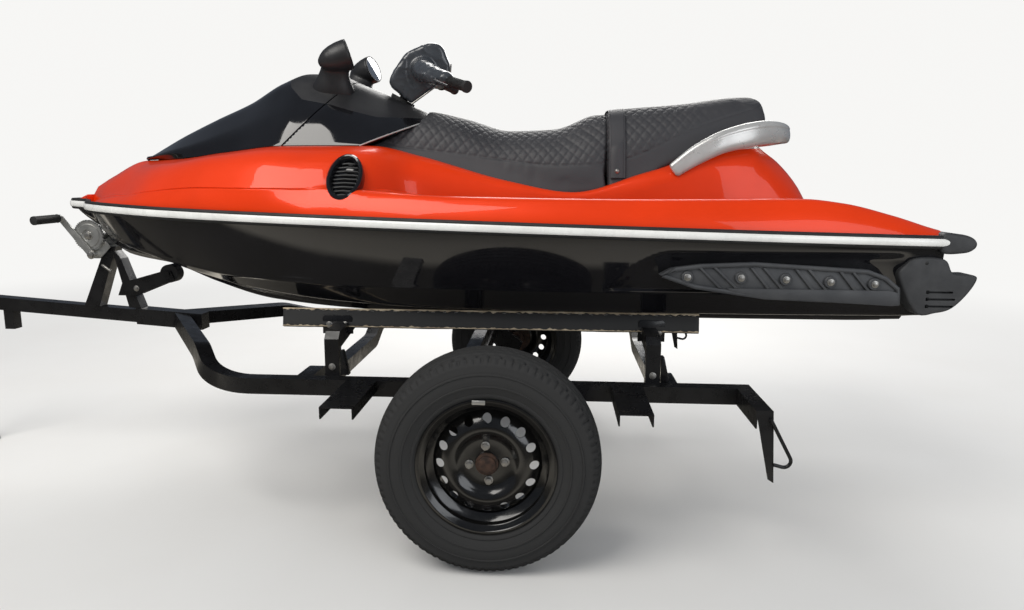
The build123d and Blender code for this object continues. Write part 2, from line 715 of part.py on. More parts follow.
def steering_nozzle():
    """Nozzle that swings against the handlebar, here turned as the bar stands."""
    z, x = pump_z(), pivot_x() - 20
    plane = Plane(origin=(x, 0, z), z_dir=(1, 0, 0))
    outer = Solid.make_cone(NOZZLE_RADIUS, NOZZLE_RADIUS - 16, NOZZLE_LENGTH, plane)
    inner = Solid.make_cone(NOZZLE_RADIUS - NOZZLE_WALL, NOZZLE_RADIUS - 16 - NOZZLE_WALL, NOZZLE_LENGTH, plane)
    bosses = rod((pivot_x(), 0, z - NOZZLE_RADIUS - 1), (pivot_x(), 0, z + NOZZLE_RADIUS + 1), 2 * PIVOT_PIN)
    pin = rod((pivot_x(), 0, z - 100), (pivot_x(), 0, z + 100), PIVOT_PIN + GAP)
    body = (outer - inner) + (bosses - rod((x, 0, z), (x + 60, 0, z), NOZZLE_RADIUS - 10)) - pin
    return body.rotate(Axis((pivot_x(), 0, z), (0, 0, 1)), -STEER_TURN)


def reverse_bucket():
    """Raised reverse bucket: a curved shell on two side arms round a level pivot."""
    x, z = pivot_x() - BUCKET_INSET, bucket_z()
    half = PUMP_RADIUS + 18
    ring = rod((x, -half, z), (x, half, z), BUCKET_RADIUS + BUCKET_WALL) - rod((x, -half, z), (x, half, z),
                                                                              BUCKET_RADIUS)
    reach = 400
    low, high = math.radians(30), math.radians(82)
    wedge = plate_xz([(x, z), (x + reach * math.cos(low), z + reach * math.sin(low)),
                      (x + reach * math.cos(high), z + reach * math.sin(high))], -half, half)
    body = ring & wedge
    for side in (-1, 1):
        y0, y1 = sorted((side * (half - BUCKET_WALL), side * half))
        far = BUCKET_RADIUS + BUCKET_WALL - 1
        arm = plate_xz([(x - 14, z - 12), (x + 14, z - 12), (x + far * math.cos(low), z + far * math.sin(low)),
                        (x + far * math.cos(low + 0.4), z + far * math.sin(low + 0.4)), (x - 14, z + 16)], y0, y1)
        body = body + arm
    return body - rod((x, -half - 10, z), (x, half + 10, z), BUCKET_PIN + GAP)


def ride_plate():
    edge = bottom_z(TUNNEL_HALF_WIDTH)
    x1 = place(STERN)
    return block(x1 - TUNNEL_LENGTH + 20, x1 - 20, -TUNNEL_HALF_WIDTH + GAP, TUNNEL_HALF_WIDTH - GAP,
                 edge, edge + PLATE_THICKNESS)


def intake_grate():
    """Frame and bars across the water intake."""
    x1 = place(STERN) - TUNNEL_LENGTH
    z = bottom_z(INTAKE_HALF_WIDTH) + 3
    ring = block(x1 - 300, x1 - 20, -INTAKE_HALF_WIDTH + GAP, INTAKE_HALF_WIDTH - GAP, z, z + GRATE_BAR)
    ring = ring - block(x1 - 300 + GRATE_BAR, x1 - 20 - GRATE_BAR, -INTAKE_HALF_WIDTH + GRATE_BAR,
                        INTAKE_HALF_WIDTH - GRATE_BAR, z - 1, z + GRATE_BAR + 1)
    pitch = 2 * (INTAKE_HALF_WIDTH - GRATE_BAR) / (GRATE_BARS + 1)
    for i in range(GRATE_BARS):
        y = -INTAKE_HALF_WIDTH + GRATE_BAR + pitch * (i + 1)
        ring = ring + block(x1 - 300 + 2, x1 - 22, y - 3, y + 3, z, z + GRATE_BAR)
    return ring


def steer_plane(lift=0.0):
    """Plane across the steering axis."""
    lean = math.radians(STEER_LEAN)
    way = Vector(math.sin(lean), 0, math.cos(lean))
    return Plane(origin=Vector(STEER_X, 0, STEER_Z) + way * lift, x_dir=Vector(math.cos(lean), 0, -math.sin(lean)),
                 z_dir=way)


def turned(shape):
    """The shape turned about the steering axis, as the bar stands."""
    plane = steer_plane()
    return shape.rotate(Axis(plane.origin, plane.z_dir), STEER_TURN)


def steering_neck(cover):
    """Fixed boot round the steering column."""
    neck = extrude(steer_plane(-60) * Circle(NECK_DIAMETER / 2), amount=60 + NECK_HEIGHT)
    neck = (neck - cover).solids().sort_by(SortBy.VOLUME)[-1]
    return neck - extrude(steer_plane(NECK_HEIGHT - COLUMN_REACH - 1) * Circle(COLUMN_RADIUS + GAP), amount=60)


def handlebar():
    """Bar from grip to grip with its clamp on the steering axis."""
    points = list(BAR) + [(x, -y, z) for x, y, z in reversed(BAR)]
    path = bent_path(points, 60)
    way = path.tangent_at(0)
    face = Plane(origin=Vector(*points[0]), z_dir=way) * Circle(BAR_DIAMETER / 2)
    bar = sweep(face, path=path)
    stem = extrude(steer_plane(NECK_HEIGHT + 6) * Circle(22), amount=122)
    column = extrude(steer_plane(NECK_HEIGHT - COLUMN_REACH) * Circle(COLUMN_RADIUS), amount=COLUMN_REACH + 10)
    return turned(bar + stem + column)


def grips():
    """Rubber grips on the ends of the bar."""
    pieces = []
    for side in (-1, 1):
        end, before = (Vector(x, side * y, z) for x, y, z in BAR[:2])
        way = (end - before).normalized()
        sleeve = rod(tuple(end - way * (GRIP_LENGTH - 12)), tuple(end + way * 12), GRIP_DIAMETER / 2)
        sleeve = sleeve - rod(tuple(end - way * (GRIP_LENGTH + 12)), tuple(end + way * GAP), BAR_DIAMETER / 2 + GAP)
        pieces.append(turned(sleeve))
    return together(pieces)


def handlebar_pad():
    """Moulded pad over the middle of the bar."""
    raw = plate_xz(PAD, -PAD_WIDTH / 2, PAD_WIDTH / 2)
    raw = fillet(raw.edges().filter_by(Axis.Y), 10)
    x, _, z = BAR[-1]
    raw = raw - rod((x, -PAD_WIDTH, z), (x, PAD_WIDTH, z), BAR_DIAMETER / 2 + 1)
    cut = extrude(steer_plane(NECK_HEIGHT + 5) * Rectangle(600, 600), amount=-300)
    return turned((raw - cut) - extrude(steer_plane(NECK_HEIGHT) * Circle(23), amount=135))


def mirror_housings(cover):
    """Teardrop mirror housings with their stalks on the hood."""
    pieces = []
    x, z = place(MIRROR_SHARE), MIRROR_Z
    for side in (-1, 1):
        y = side * MIRROR_Y
        arc = Edge.make_three_point_arc((x, y, z), (x + 38, y, z + MIRROR_RADIUS * 0.8),
                                        (x + MIRROR_LENGTH, y, z + MIRROR_RADIUS))
        back = Edge.make_line((x + MIRROR_LENGTH, y, z + MIRROR_RADIUS), (x + MIRROR_LENGTH, y, z))
        axis = Edge.make_line((x + MIRROR_LENGTH, y, z), (x, y, z))
        face = Face(Wire([arc, back, axis]))
        bowl = revolve(face, axis=Axis((x, y, z), (1, 0, 0)))
        foot, head = Vector(x + 20, side * MIRROR_FOOT_Y, MIRROR_FOOT_Z), Vector(x + 62, y, z)
        stalk = Solid.make_cone(MIRROR_FOOT_RADIUS, MIRROR_FOOT_RADIUS * 0.5, (head - foot).length,
                                Plane(origin=foot, z_dir=head - foot))
        pieces.append(((bowl + stalk) - cover).solids().sort_by(SortBy.VOLUME)[-1])
    return pieces


def mirror_glasses():
    x, z = place(MIRROR_SHARE) + MIRROR_LENGTH, MIRROR_Z
    return together([rod((x + GAP, s * MIRROR_Y, z), (x + 3, s * MIRROR_Y, z), MIRROR_RADIUS - 5) for s in (-1, 1)])


def tongue_top(x):
    return TONGUE_TOP + math.tan(math.radians(TONGUE_RISE)) * (TONGUE_X - x)


def along_tongue(x0, x1, half_width, low, high):
    """Bar along the tongue between two places, with heights from the tongue's top."""
    return plate_xz([(x0, tongue_top(x0) + low), (x1, tongue_top(x1) + low), (x1, tongue_top(x1) + high),
                     (x0, tongue_top(x0) + high)], -half_width, half_width)


def tongue():
    """Draw bar with the thicker sleeve at its welded end."""
    bar = along_tongue(TONGUE_FRONT_X, TONGUE_REAR_X, TUBE / 2, -TUBE, 0)
    sleeve = along_tongue(TONGUE_REAR_X - SLEEVE_LENGTH, TONGUE_REAR_X, TUBE / 2 + SLEEVE_WALL, -TUBE - SLEEVE_WALL,
                          SLEEVE_WALL)
    stub = block(-1460, -1420, -20, 20, tongue_top(-1440) - 125, tongue_top(-1440) - TUBE / 2)
    return bar + sleeve + stub


def side_rail(draw_bar):
    """Starboard side rail, bent in and up to the tongue."""
    z = RAIL_TOP - TUBE / 2
    points = [(FRAME_REAR_X, RAIL_Y, z), (ELBOW_X, RAIL_Y, z), ARM_BEND, (TONGUE_X - 50, 10, ARM_END)]
    bar = tube(points, ELBOW_RADIUS, Rectangle(TUBE, TUBE))
    return bar - draw_bar - block(-2000, 2000, -400, GAP, 0, 2000)


def cross_member(x, drop):
    """Tube between the side rails, dropped in the middle for the keel."""
    z, end = RAIL_TOP - TUBE / 2, RAIL_Y - TUBE / 2 - GAP
    if drop == 0:
        return block(x - TUBE / 2, x + TUBE / 2, -end, end, z - TUBE / 2, z + TUBE / 2)
    half = [(x, end, z), (x, end - 125, z), (x, end - 245, z - drop)]
    points = half + [(px, -py, pz) for px, py, pz in reversed(half)]
    return tube(points, 110, Rectangle(TUBE, TUBE))


def bunk_slope():
    """Slope of the hull's bottom between keel and chine amidships."""
    return (HULL[7][4] - HULL[7][2]) / (HULL[7][3] * HALF_BEAM)


def bunk():
    """Starboard bunk, tilted to the bottom of the hull."""
    slope = bunk_slope()
    length = math.sqrt(1 + slope * slope)
    half = BUNK_WIDTH / 2 / length
    rows = []
    for dy, offset in ((-half, GAP), (half, GAP), (half, GAP + BUNK_THICKNESS), (-half, GAP + BUNK_THICKNESS)):
        shift = offset * slope / length
        rows.append((BUNK_Y + dy + shift, bottom_z(BUNK_Y + dy) - offset / length))
    return plate_yz(rows, BUNK_FRONT_X, BUNK_FRONT_X + BUNK_LENGTH)


def bunk_bracket(x):
    """Post on the rail's inner side with the arm that carries the bunk."""
    slope = bunk_slope()
    length = math.sqrt(1 + slope * slope)
    depth = GAP + BUNK_THICKNESS + GAP
    shift, face = depth * slope / length, RAIL_Y - TUBE / 2 - GAP

    def under(y, extra=0.0):
        return (y + shift, bottom_z(y) - depth / length - extra)

    points = [under(BUNK_Y - 40), under(BUNK_Y + 40), (face - 20, under(BUNK_Y + 40)[1] - 8),
              (face, under(BUNK_Y + 40)[1] - 30), (face, RAIL_TOP - TUBE), (face - POST_THICKNESS, RAIL_TOP - TUBE),
              (face - POST_THICKNESS, under(BUNK_Y + 40)[1] - 60), under(BUNK_Y - 40, 14)]
    return plate_yz(points, x - POST_WIDTH / 2, x + POST_WIDTH / 2)


def tyre(side):
    """Tyre round its rim, open inward to the rim."""
    y0 = side * WHEEL_Y
    half = TYRE_WIDTH / 2
    bead = RIM_SEAT_RADIUS + GAP
    seat_edge = RIM_WIDTH / 2 - 10 - GAP
    profile = [(bead, seat_edge - 0.5), (RIM_FLANGE_RADIUS - 3, seat_edge + 4), (RIM_FLANGE_RADIUS + 1, seat_edge + 5),
               (RIM_FLANGE_RADIUS + 9, RIM_WIDTH / 2 + 5), (TYRE_RADIUS - 75, half),
               (TYRE_RADIUS - 32, half - 5), (TYRE_RADIUS - 10, half - 20), (TYRE_RADIUS - 1, half - 42),
               (TYRE_RADIUS, 0)]
    inside = [(TYRE_RADIUS - 14, 0), (TYRE_RADIUS - 24, half - 24), (TYRE_RADIUS - 75, half - 11),
              (bead + 18, half - 38), (bead, half - 40)]
    points = profile + [(r, -w) for r, w in reversed(profile[:-1])]
    points = points + [(r, -w) for r, w in reversed(inside[1:])] + inside
    wire = Wire.make_polygon([Vector(AXLE_X, y0 + w, AXLE_Z + r) for r, w in points], close=True)
    return revolve(Face(wire), axis=Axis((AXLE_X, y0, AXLE_Z), (0, 1, 0)))


def wheel(side):
    """Pressed steel wheel: rim with two flanges and a vented disc."""
    y0, half = side * WHEEL_Y, RIM_WIDTH / 2
    flange, seat, well = RIM_FLANGE_RADIUS, RIM_SEAT_RADIUS, RIM_WELL_RADIUS
    outer = [(flange, half), (flange - 3, half - 5), (seat, half - 10), (seat, half - 34), (well, half - 46),
             (well, -half + 56), (seat, -half + 36), (seat, -half + 10), (flange - 3, -half + 5), (flange, -half)]
    inner = [(r - RIM_WALL - 2 if 0 < i < 9 else r - RIM_WALL - 3, w) for i, (r, w) in enumerate(outer)]
    rim = revolve(Face(Wire.make_polygon([Vector(AXLE_X, y0 + side * w, AXLE_Z + r) for r, w in outer + inner[::-1]],
                                         close=True)), axis=Axis((AXLE_X, y0, AXLE_Z), (0, 1, 0)))
    face = side * DISC_OFFSET
    disc = [(34, 0), (72, 0), (88, 12), (112, 20), (132, 12), (144, -12), (well - 1, -16), (well - 1, -12 - 8),
            (140, -17), (128, 6), (112, 14), (90, 6), (74, -6), (34, -6)]
    disc = revolve(Face(Wire.make_polygon([Vector(AXLE_X, y0 + face + side * w, AXLE_Z + r) for r, w in disc],
                                          close=True)), axis=Axis((AXLE_X, y0, AXLE_Z), (0, 1, 0)))
    for i in range(VENT_COUNT):
        turn = 2 * math.pi * i / VENT_COUNT
        x, z = AXLE_X + VENT_CIRCLE / 2 * math.cos(turn), AXLE_Z + VENT_CIRCLE / 2 * math.sin(turn)
        disc = disc - rod((x, y0 + face - 60, z), (x, y0 + face + 60, z), VENT_RADIUS)
    for i in range(BOLT_COUNT):
        turn = 2 * math.pi * (i + 0.5) / BOLT_COUNT
        x, z = AXLE_X + BOLT_CIRCLE / 2 * math.cos(turn), AXLE_Z + BOLT_CIRCLE / 2 * math.sin(turn)
        disc = disc - rod((x, y0 + face - 60, z), (x, y0 + face + 60, z), 7)
    return rim + disc


def hub(side):
    """Hub that carries the wheel and turns on the spindle, with its bolts."""
    y = side * (WHEEL_Y + DISC_OFFSET)
    spots = [(y - side * (6 + GAP), HUB_RADIUS, 14), (y - side * 6, 40, 52)]
    body = rod((AXLE_X, spots[0][0], AXLE_Z), (AXLE_X, spots[0][0] - side * 14, AXLE_Z), HUB_RADIUS)
    body = body + rod((AXLE_X, y + side * 26, AXLE_Z), (AXLE_X, y - side * 62, AXLE_Z), 32)
    for i in range(BOLT_COUNT):
        turn = 2 * math.pi * (i + 0.5) / BOLT_COUNT
        x, z = AXLE_X + BOLT_CIRCLE / 2 * math.cos(turn), AXLE_Z + BOLT_CIRCLE / 2 * math.sin(turn)
        body = body + rod((x, spots[0][0] - side * 5, z), (x, y + side * 14, z), 6)
        body = body + rod((x, y + side * GAP, z), (x, y + side * 12, z), 10)
    return body - rod((AXLE_X, y + side * 12, AXLE_Z), (AXLE_X, y - side * 80, AXLE_Z), SPINDLE_RADIUS + GAP)


def suspension_arm(side):
    """Trailing arm with the spindle at its end and its shaft into the beam."""
    y = side * ARM_Y
    arm = plate_xz([(BEAM_X - 34, BEAM_Z + 30), (BEAM_X + 30, BEAM_Z + 34), (AXLE_X + 34, AXLE_Z + 10),
                    (AXLE_X + 18, AXLE_Z - 30), (AXLE_X - 26, AXLE_Z - 26), (BEAM_X - 34, BEAM_Z - 26)],
                   y - ARM_THICKNESS / 2, y + ARM_THICKNESS / 2)
    inner = side * (RAIL_Y - 60)
    shaft = rod((BEAM_X, y, BEAM_Z), (BEAM_X, inner, BEAM_Z), 18)
    spindle = rod((AXLE_X, y, AXLE_Z), (AXLE_X, side * (WHEEL_Y + DISC_OFFSET + 8), AXLE_Z), SPINDLE_RADIUS)
    return arm + shaft + spindle


def axle_beam():
    """Axle tube under the side rails."""
    end = RAIL_Y + 40
    size = 60
    beam = block(BEAM_X - size / 2, BEAM_X + size / 2, -end, end, BEAM_Z - size / 2, BEAM_Z + size / 2)
    for side in (-1, 1):
        beam = beam - rod((BEAM_X, side * (RAIL_Y - 61), BEAM_Z), (BEAM_X, side * (end + 1), BEAM_Z), 18 + GAP)
    for side in (-1, 1):
        y = side * RAIL_Y
        beam = beam + block(BEAM_X - 70, BEAM_X + 70, y - 22, y + 22, BEAM_Z + size / 2 - 2, RAIL_TOP - TUBE - GAP)
    return beam


def guard_bracket(x):
    """Mudguard bracket: a channel, open below, from the rail out over the tyre."""
    y0, y1, top = RAIL_Y + TUBE / 2 + GAP, GUARD_REACH, RAIL_TOP
    body = block(x - GUARD_WIDTH / 2, x + GUARD_WIDTH / 2, y0, y1, top - GUARD_DROP, top)
    body = body - block(x - GUARD_WIDTH / 2 + PLATE, x + GUARD_WIDTH / 2 - PLATE, y0 - 1, y1 + 1, top - GUARD_DROP - 1,
                        top - PLATE)
    hole_y = GUARD_REACH - GUARD_HOLE_INSET
    return body - rod((x, hole_y, top - 20), (x, hole_y, top + 20), GUARD_HOLE)


def lamp_bracket():
    """Lamp arm at the rail's end with its pointed gusset."""
    x0, x1 = FRAME_REAR_X + GAP, FRAME_REAR_X + GAP + LAMP_WIDTH
    y0, y1, top = RAIL_Y - TUBE / 2, LAMP_REACH, RAIL_TOP
    arm = block(x0, x1, y0, y1, top - PLATE, top)
    skirt = block(x0, x0 + PLATE, y0, y1, top - TUBE, top)
    wedge = plate_xz([(x0, top - 1), (x1, top - 1), (x1 + 12, top - LAMP_DROP), (x1 - 4, top - LAMP_DROP + 10)],
                     y1 - PLATE, y1)
    body = arm + skirt + wedge
    for inset in LAMP_HOLE_INSETS:
        y = LAMP_REACH - inset
        body = body - rod((x0 - 5, y, top - LAMP_HOLE_DROP), (x0 + 20, y, top - LAMP_HOLE_DROP), LAMP_HOLE_RADIUS)
    return body


def lamp_guard():
    """Bent rod that guards the lamp's place."""
    y, top = LAMP_REACH + ROD_DIAMETER / 2 + GAP, RAIL_TOP
    x = FRAME_REAR_X + LAMP_WIDTH
    points = [(x - 8, y, top - 20), (x + 70, y, top - 165), (x + 8, y, top - 150)]
    return tube(points, 18, Circle(ROD_DIAMETER / 2))


def winch_post():
    """Post and brace that carry the winch above the tongue."""
    foot, brace, head = POST_FOOT_X, BRACE_FOOT_X, POST_HEAD_X
    post = plate_xz([(foot - 30, tongue_top(foot - 30) + GAP), (foot + 30, tongue_top(foot + 30) + GAP),
                     (head + 16, POST_HEAD_Z), (head - 26, POST_HEAD_Z)], -TUBE / 2, TUBE / 2)
    strut = plate_xz([(brace - 24, tongue_top(brace - 24) + SLEEVE_WALL + GAP),
                      (brace + 24, tongue_top(brace + 24) + SLEEVE_WALL + GAP), (head + 32, POST_HEAD_Z - 45),
                      (head, POST_HEAD_Z - 4)], -TUBE / 2, TUBE / 2)
    return post + strut


def roller_z():
    share = (ROLLER_X - BOW_X) / CRAFT_LENGTH
    return BASE_Z + smooth(HULL, 2, share) - ROLLER_RADIUS - 6


def bow_support():
    """Forked arm from the brace up to the bow roller."""
    x, z = ROLLER_X, roller_z()
    sides = []
    for side in (-1, 1):
        y0, y1 = side * (TUBE / 2 + GAP), side * (TUBE / 2 + GAP + 6)
        sides.append(plate_xz([(BRACE_FOOT_X - 60, 640), (BRACE_FOOT_X + 10, 640), (x + 24, z - 22), (x + 10, z + 12),
                               (x - 16, z + 12), (BRACE_FOOT_X - 40, 690)], min(y0, y1), max(y0, y1)))
    pin = rod((x, -TUBE / 2 - 12, z), (x, TUBE / 2 + 12, z), 8)
    return sides[0] + sides[1] + pin


def bow_roller():
    x, z = ROLLER_X, roller_z()
    return rod((x, -TUBE / 2 + 1, z), (x, TUBE / 2 - 1, z), ROLLER_RADIUS) - rod((x, -60, z), (x, 60, z), 8 + GAP)


def winch_frame():
    """Two side plates that stand on the post's head and reach down to the crank's pivot."""
    base, low = POST_HEAD_Z + GAP, crank_z() - 16
    outline = [(WINCH_X - 40, base), (crank_x() - 14, low), (crank_x() + 18, low), (POST_HEAD_X + 6, base),
               (POST_HEAD_X - 2, base + 14), (WINCH_X + 24, WINCH_Z + 12), (WINCH_X + 20, WINCH_Z + 30),
               (WINCH_X - 30, WINCH_Z + 30), (WINCH_X - 44, base + 30)]
    half = WINCH_HALF_WIDTH
    body = plate_xz(outline, -half, -half + PLATE) + plate_xz(outline, half - PLATE, half)
    body = body + block(WINCH_X - 30, POST_HEAD_X + 4, -half, half, base, base + PLATE)
    return body - rod((WINCH_X, -100, WINCH_Z), (WINCH_X, 100, WINCH_Z), 9)


def winch_drum():
    """Drum with its gear wheel outside the port plate."""
    half = WINCH_HALF_WIDTH
    body = rod((WINCH_X, -half + PLATE + 1, WINCH_Z), (WINCH_X, half - PLATE - 1, WINCH_Z), DRUM_RADIUS - 4)
    body = body + rod((WINCH_X, -half - 16, WINCH_Z), (WINCH_X, half + 8, WINCH_Z), 9 - GAP)
    return body + rod((WINCH_X, -half - 12, WINCH_Z), (WINCH_X, -half - 4, WINCH_Z), GEAR_RADIUS)


def crank_x():
    return WINCH_X + CRANK_SHIFT


def crank_z():
    return WINCH_Z - CRANK_DROP


def winch_crank():
    """Crank arm with its grip."""
    y, x, z = -WINCH_HALF_WIDTH - 20, crank_x(), crank_z()
    end = (x - 111, z + 137)
    arm = plate_xz([(x - 9, z - 9), (x + 12, z + 4), (end[0] + 10, end[1] + 8), (end[0] - 10, end[1] - 2)], y - 6, y)
    grip = rod((end[0], y - 3, end[1]), (end[0] - 20, y - 120, end[1] - 3), 14)
    pivot = rod((x, y - 6, z), (x, -WINCH_HALF_WIDTH - GAP, z), 9)
    return arm + grip + pivot


def coupler():
    """Pressed coupler with its open ball socket."""
    x1, x0 = TONGUE_FRONT_X + 110, TONGUE_FRONT_X + 110 - COUPLER_LENGTH
    z = tongue_top(TONGUE_FRONT_X)
    jaw = TUBE / 2 + 6
    body = block(x0 + 40, x1, -jaw, jaw, z - TUBE - 6, z + 14)
    body = body - along_tongue(TONGUE_FRONT_X - GAP, x1 + 5, TUBE / 2 + GAP, -TUBE - GAP, GAP)
    ball = Vector(x0 + 42, 0, z - TUBE + 8)
    body = body + Pos(*ball) * Sphere(BALL_RADIUS + 10) - Pos(*ball) * Sphere(BALL_RADIUS + 1)
    body = body - block(x0 - 50, x0 + 42 + BALL_RADIUS + 1, -80, 80, z - TUBE - 60, z - TUBE - 4)
    body = body - rod((ball.X, 0, ball.Z - 60), (ball.X, 0, ball.Z - 5), BALL_RADIUS + 1)
    lever = plate_xz([(x0 + 60, z + 13), (x0 + 150, z + 13), (x0 + 120, z + 42), (x0 + 40, z + 52)], -12, 12)
    return body + lever


def stand_x():
    """X of the prop stand, behind the coupler."""
    return TONGUE_FRONT_X + STAND_SETBACK


def stand_sleeve():
    """Clamp sleeve of the prop stand beside the tongue."""
    x, y, z = stand_x(), STAND_Y, tongue_top(stand_x())
    body = rod((x, y, z - 90), (x, y, z + 60), STAND_RADIUS + 5)
    body = body + block(x - 40, x + 40, TUBE / 2 + GAP, TUBE / 2 + GAP + 10, z - TUBE, z)
    body = body + block(x - 10, x + 10, TUBE / 2 + 5, y, z - TUBE + 5, z - 5)
    return body - rod((x, y, z - 120), (x, y, z + 100), STAND_RADIUS + GAP)


def prop_stand():
    """Sliding leg with its foot plate."""
    x, z = stand_x(), tongue_top(stand_x())
    leg = rod((x, STAND_Y, 6), (x, STAND_Y, z + 90), STAND_RADIUS)
    return leg + rod((x, STAND_Y, 0), (x, STAND_Y, 8), FOOT_RADIUS)


def write(name, shape):
    export_step(shape if isinstance(shape, (Compound, Solid)) else Compound(children=list(shape.solids())),
                "parts/" + name + ".step")


def main():
    os.makedirs("parts", exist_ok=True)
    saddle = saddle_form()
    well = well_form() - saddle
    well = well if isinstance(well, Solid) else Compound(children=list(well.solids()))
    hull_shape = hull(well)
    hull_grown = hull_form(GAP)
    saddle_grown = saddle_form(GAP)
    seat = seat_form(saddle_grown)
    draw_bar = tongue()
    write("hull", hull_shape)
    write("deck", deck(well, saddle))
    write("rub_rail", rub_rail())
    write("rub_strip", rub_strip())
    write("rail_end_caps", together(mirrored(rail_end_cap())))
    write("hood", hood(saddle_grown))
    write("console", console(saddle_grown))
    write("seat_front", seat_front(seat))
    write("seat_rear", seat_rear(seat))
    write("seat_strap", seat_strap(seat))
    write("grab_handle", grab_handle(saddle_grown))
    write("side_grilles", together([grille(-1), grille(1)]))
    write("sponsons", together(mirrored(sponson(hull_grown).solid())))
    write("stern_corner_caps", together(mirrored(stern_corner_cap(hull_grown).solids().sort_by(SortBy.VOLUME)[-1])))
    write("deck_mats", deck_mats(well))
    write("engine_block", engine_box(0))
    write("jet_pump", jet_pump())
    write("steering_nozzle", steering_nozzle())
    write("reverse_bucket", reverse_bucket())
    write("ride_plate", ride_plate())
    write("intake_grate", intake_grate())
    write("steering_neck", steering_neck(console_form(-GAP)))
    write("handlebar", handlebar())
    write("grips", grips())
    write("handlebar_pad", handlebar_pad())
    write("mirror_housings", together(mirror_housings(console_form(-GAP))))
    write("mirror_glasses", mirror_glasses())
    write("tongue", draw_bar)
    grown_tongue = along_tongue(TONGUE_FRONT_X, TONGUE_REAR_X, TUBE / 2 + SLEEVE_WALL + GAP, -TUBE - 30, 30)
    rail = side_rail(grown_tongue)
    write("rail_right", rail)
    write("rail_left", mirror(rail, about=Plane.XZ))
    write("cross_members", together([cross_member(x, drop) for x, drop in CROSS_PLACES]))
    write("bunks", together(mirrored(bunk())))
    write("bunk_brackets", together([s for x in POST_PLACES for s in mirrored(bunk_bracket(x))]))
    write("axle_beam", axle_beam())
    write("suspension_arms", together([suspension_arm(-1), suspension_arm(1)]))
    for name, side in (("left", -1), ("right", 1)):
        write("tyre_" + name, tyre(side))
        write("wheel_" + name, wheel(side))
        write("hub_" + name, hub(side))
    write("mudguard_brackets", together([s for x in GUARD_PLACES for s in mirrored(guard_bracket(x))]))
    write("lamp_brackets", together(mirrored(lamp_bracket())))
    write("lamp_guards", together(mirrored(lamp_guard())))
    write("winch_post", winch_post())
    write("bow_support", bow_support())
    write("bow_roller", bow_roller())
    write("winch_frame", winch_frame())
    write("winch_drum", winch_drum())
    write("winch_crank", winch_crank())
    write("coupler", coupler())
    write("stand_sleeve", stand_sleeve())
    write("prop_stand", prop_stand())


main()
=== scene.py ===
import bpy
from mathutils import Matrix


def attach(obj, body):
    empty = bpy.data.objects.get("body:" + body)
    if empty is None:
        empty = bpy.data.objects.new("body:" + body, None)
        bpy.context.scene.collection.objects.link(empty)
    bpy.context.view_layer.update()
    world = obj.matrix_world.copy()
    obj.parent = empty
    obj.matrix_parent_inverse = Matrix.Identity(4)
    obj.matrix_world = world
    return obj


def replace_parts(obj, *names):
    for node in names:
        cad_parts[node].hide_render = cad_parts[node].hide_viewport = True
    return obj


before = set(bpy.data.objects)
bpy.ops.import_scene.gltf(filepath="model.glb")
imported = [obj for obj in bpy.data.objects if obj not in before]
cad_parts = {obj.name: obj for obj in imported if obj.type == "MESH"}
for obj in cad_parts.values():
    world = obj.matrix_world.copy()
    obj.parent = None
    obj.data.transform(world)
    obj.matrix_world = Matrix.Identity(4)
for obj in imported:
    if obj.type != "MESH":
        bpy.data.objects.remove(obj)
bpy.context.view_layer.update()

import math

import bmesh
import bpy
from bpy.props import FloatProperty, FloatVectorProperty, IntProperty, PointerProperty
from mathutils import Matrix, Vector, noise

bl_info = {
    "name": "Watercraft on trailer, looks",
    "version": (1, 0, 0),
    "blender": (4, 5, 0),
    "location": "View3D > Sidebar > Watercraft",
    "description": "Detailed pieces and materials over the packed model of a watercraft on its trailer",
    "category": "Object",
}

# Lines of the craft, in metres, shared with the solids. X runs aft, Y to starboard, Z up.
CRAFT_LENGTH, BOW_X, HALF_BEAM, BASE_Z, STERN = 3.130, -1.160, 0.610, 0.515, 0.960
RAIL_HEIGHT, RAIL_FALL = 0.436, 0.0245
WELL_FLOOR, WELL_START, GUNWALE_WIDTH = 0.355, 0.44, 0.095
TUNNEL_LENGTH, INTAKE_LENGTH, KEEL = 0.480, 0.430, 0.075
SEAT_SPLIT, SEAT_GAP = 0.650, 0.004
AXLE_X, AXLE_Z, WHEEL_Y, TYRE_RADIUS = 0.525, 0.318, 0.790, 0.318
# storage bin: share where it starts and ends, half width
BIN_FRONT, BIN_REAR, BIN_HALF = 0.165, 0.298, 0.120
# share of length, half beam at the nose of the rail
NOSE = ((0.010, 0.016), (0.020, 0.034), (0.040, 0.070))
# share of length, half beam, keel rise, chine y, chine z, crease y, crease z
HULL = (
    (0.040, 0.115, 385, 0.040, 398, 0.070, 420), (0.070, 0.350, 288, 0.110, 320, 0.215, 372),
    (0.132, 0.575, 245, 0.245, 288, 0.405, 322), (0.192, 0.725, 176, 0.345, 242, 0.540, 287),
    (0.265, 0.835, 112, 0.490, 206, 0.680, 262), (0.369, 0.925, 86, 0.640, 180, 0.790, 248),
    (0.480, 0.980, 76, 0.720, 169, 0.852, 244), (0.600, 1.000, 75, 0.738, 167, 0.869, 242),
    (0.772, 0.985, 75, 0.738, 167, 0.869, 241), (0.912, 0.925, 75, 0.738, 170, 0.845, 241),
    (0.985, 0.862, 80, 0.730, 174, 0.800, 242),
)
# share, gunwale height over the base line
GUNWALE = (
    (0.040, 492), (0.109, 522), (0.250, 560), (0.369, 550), (0.500, 528), (0.660, 524),
    (0.826, 528), (0.865, 516), (0.914, 480), (0.955, 442), (0.985, 420),
)
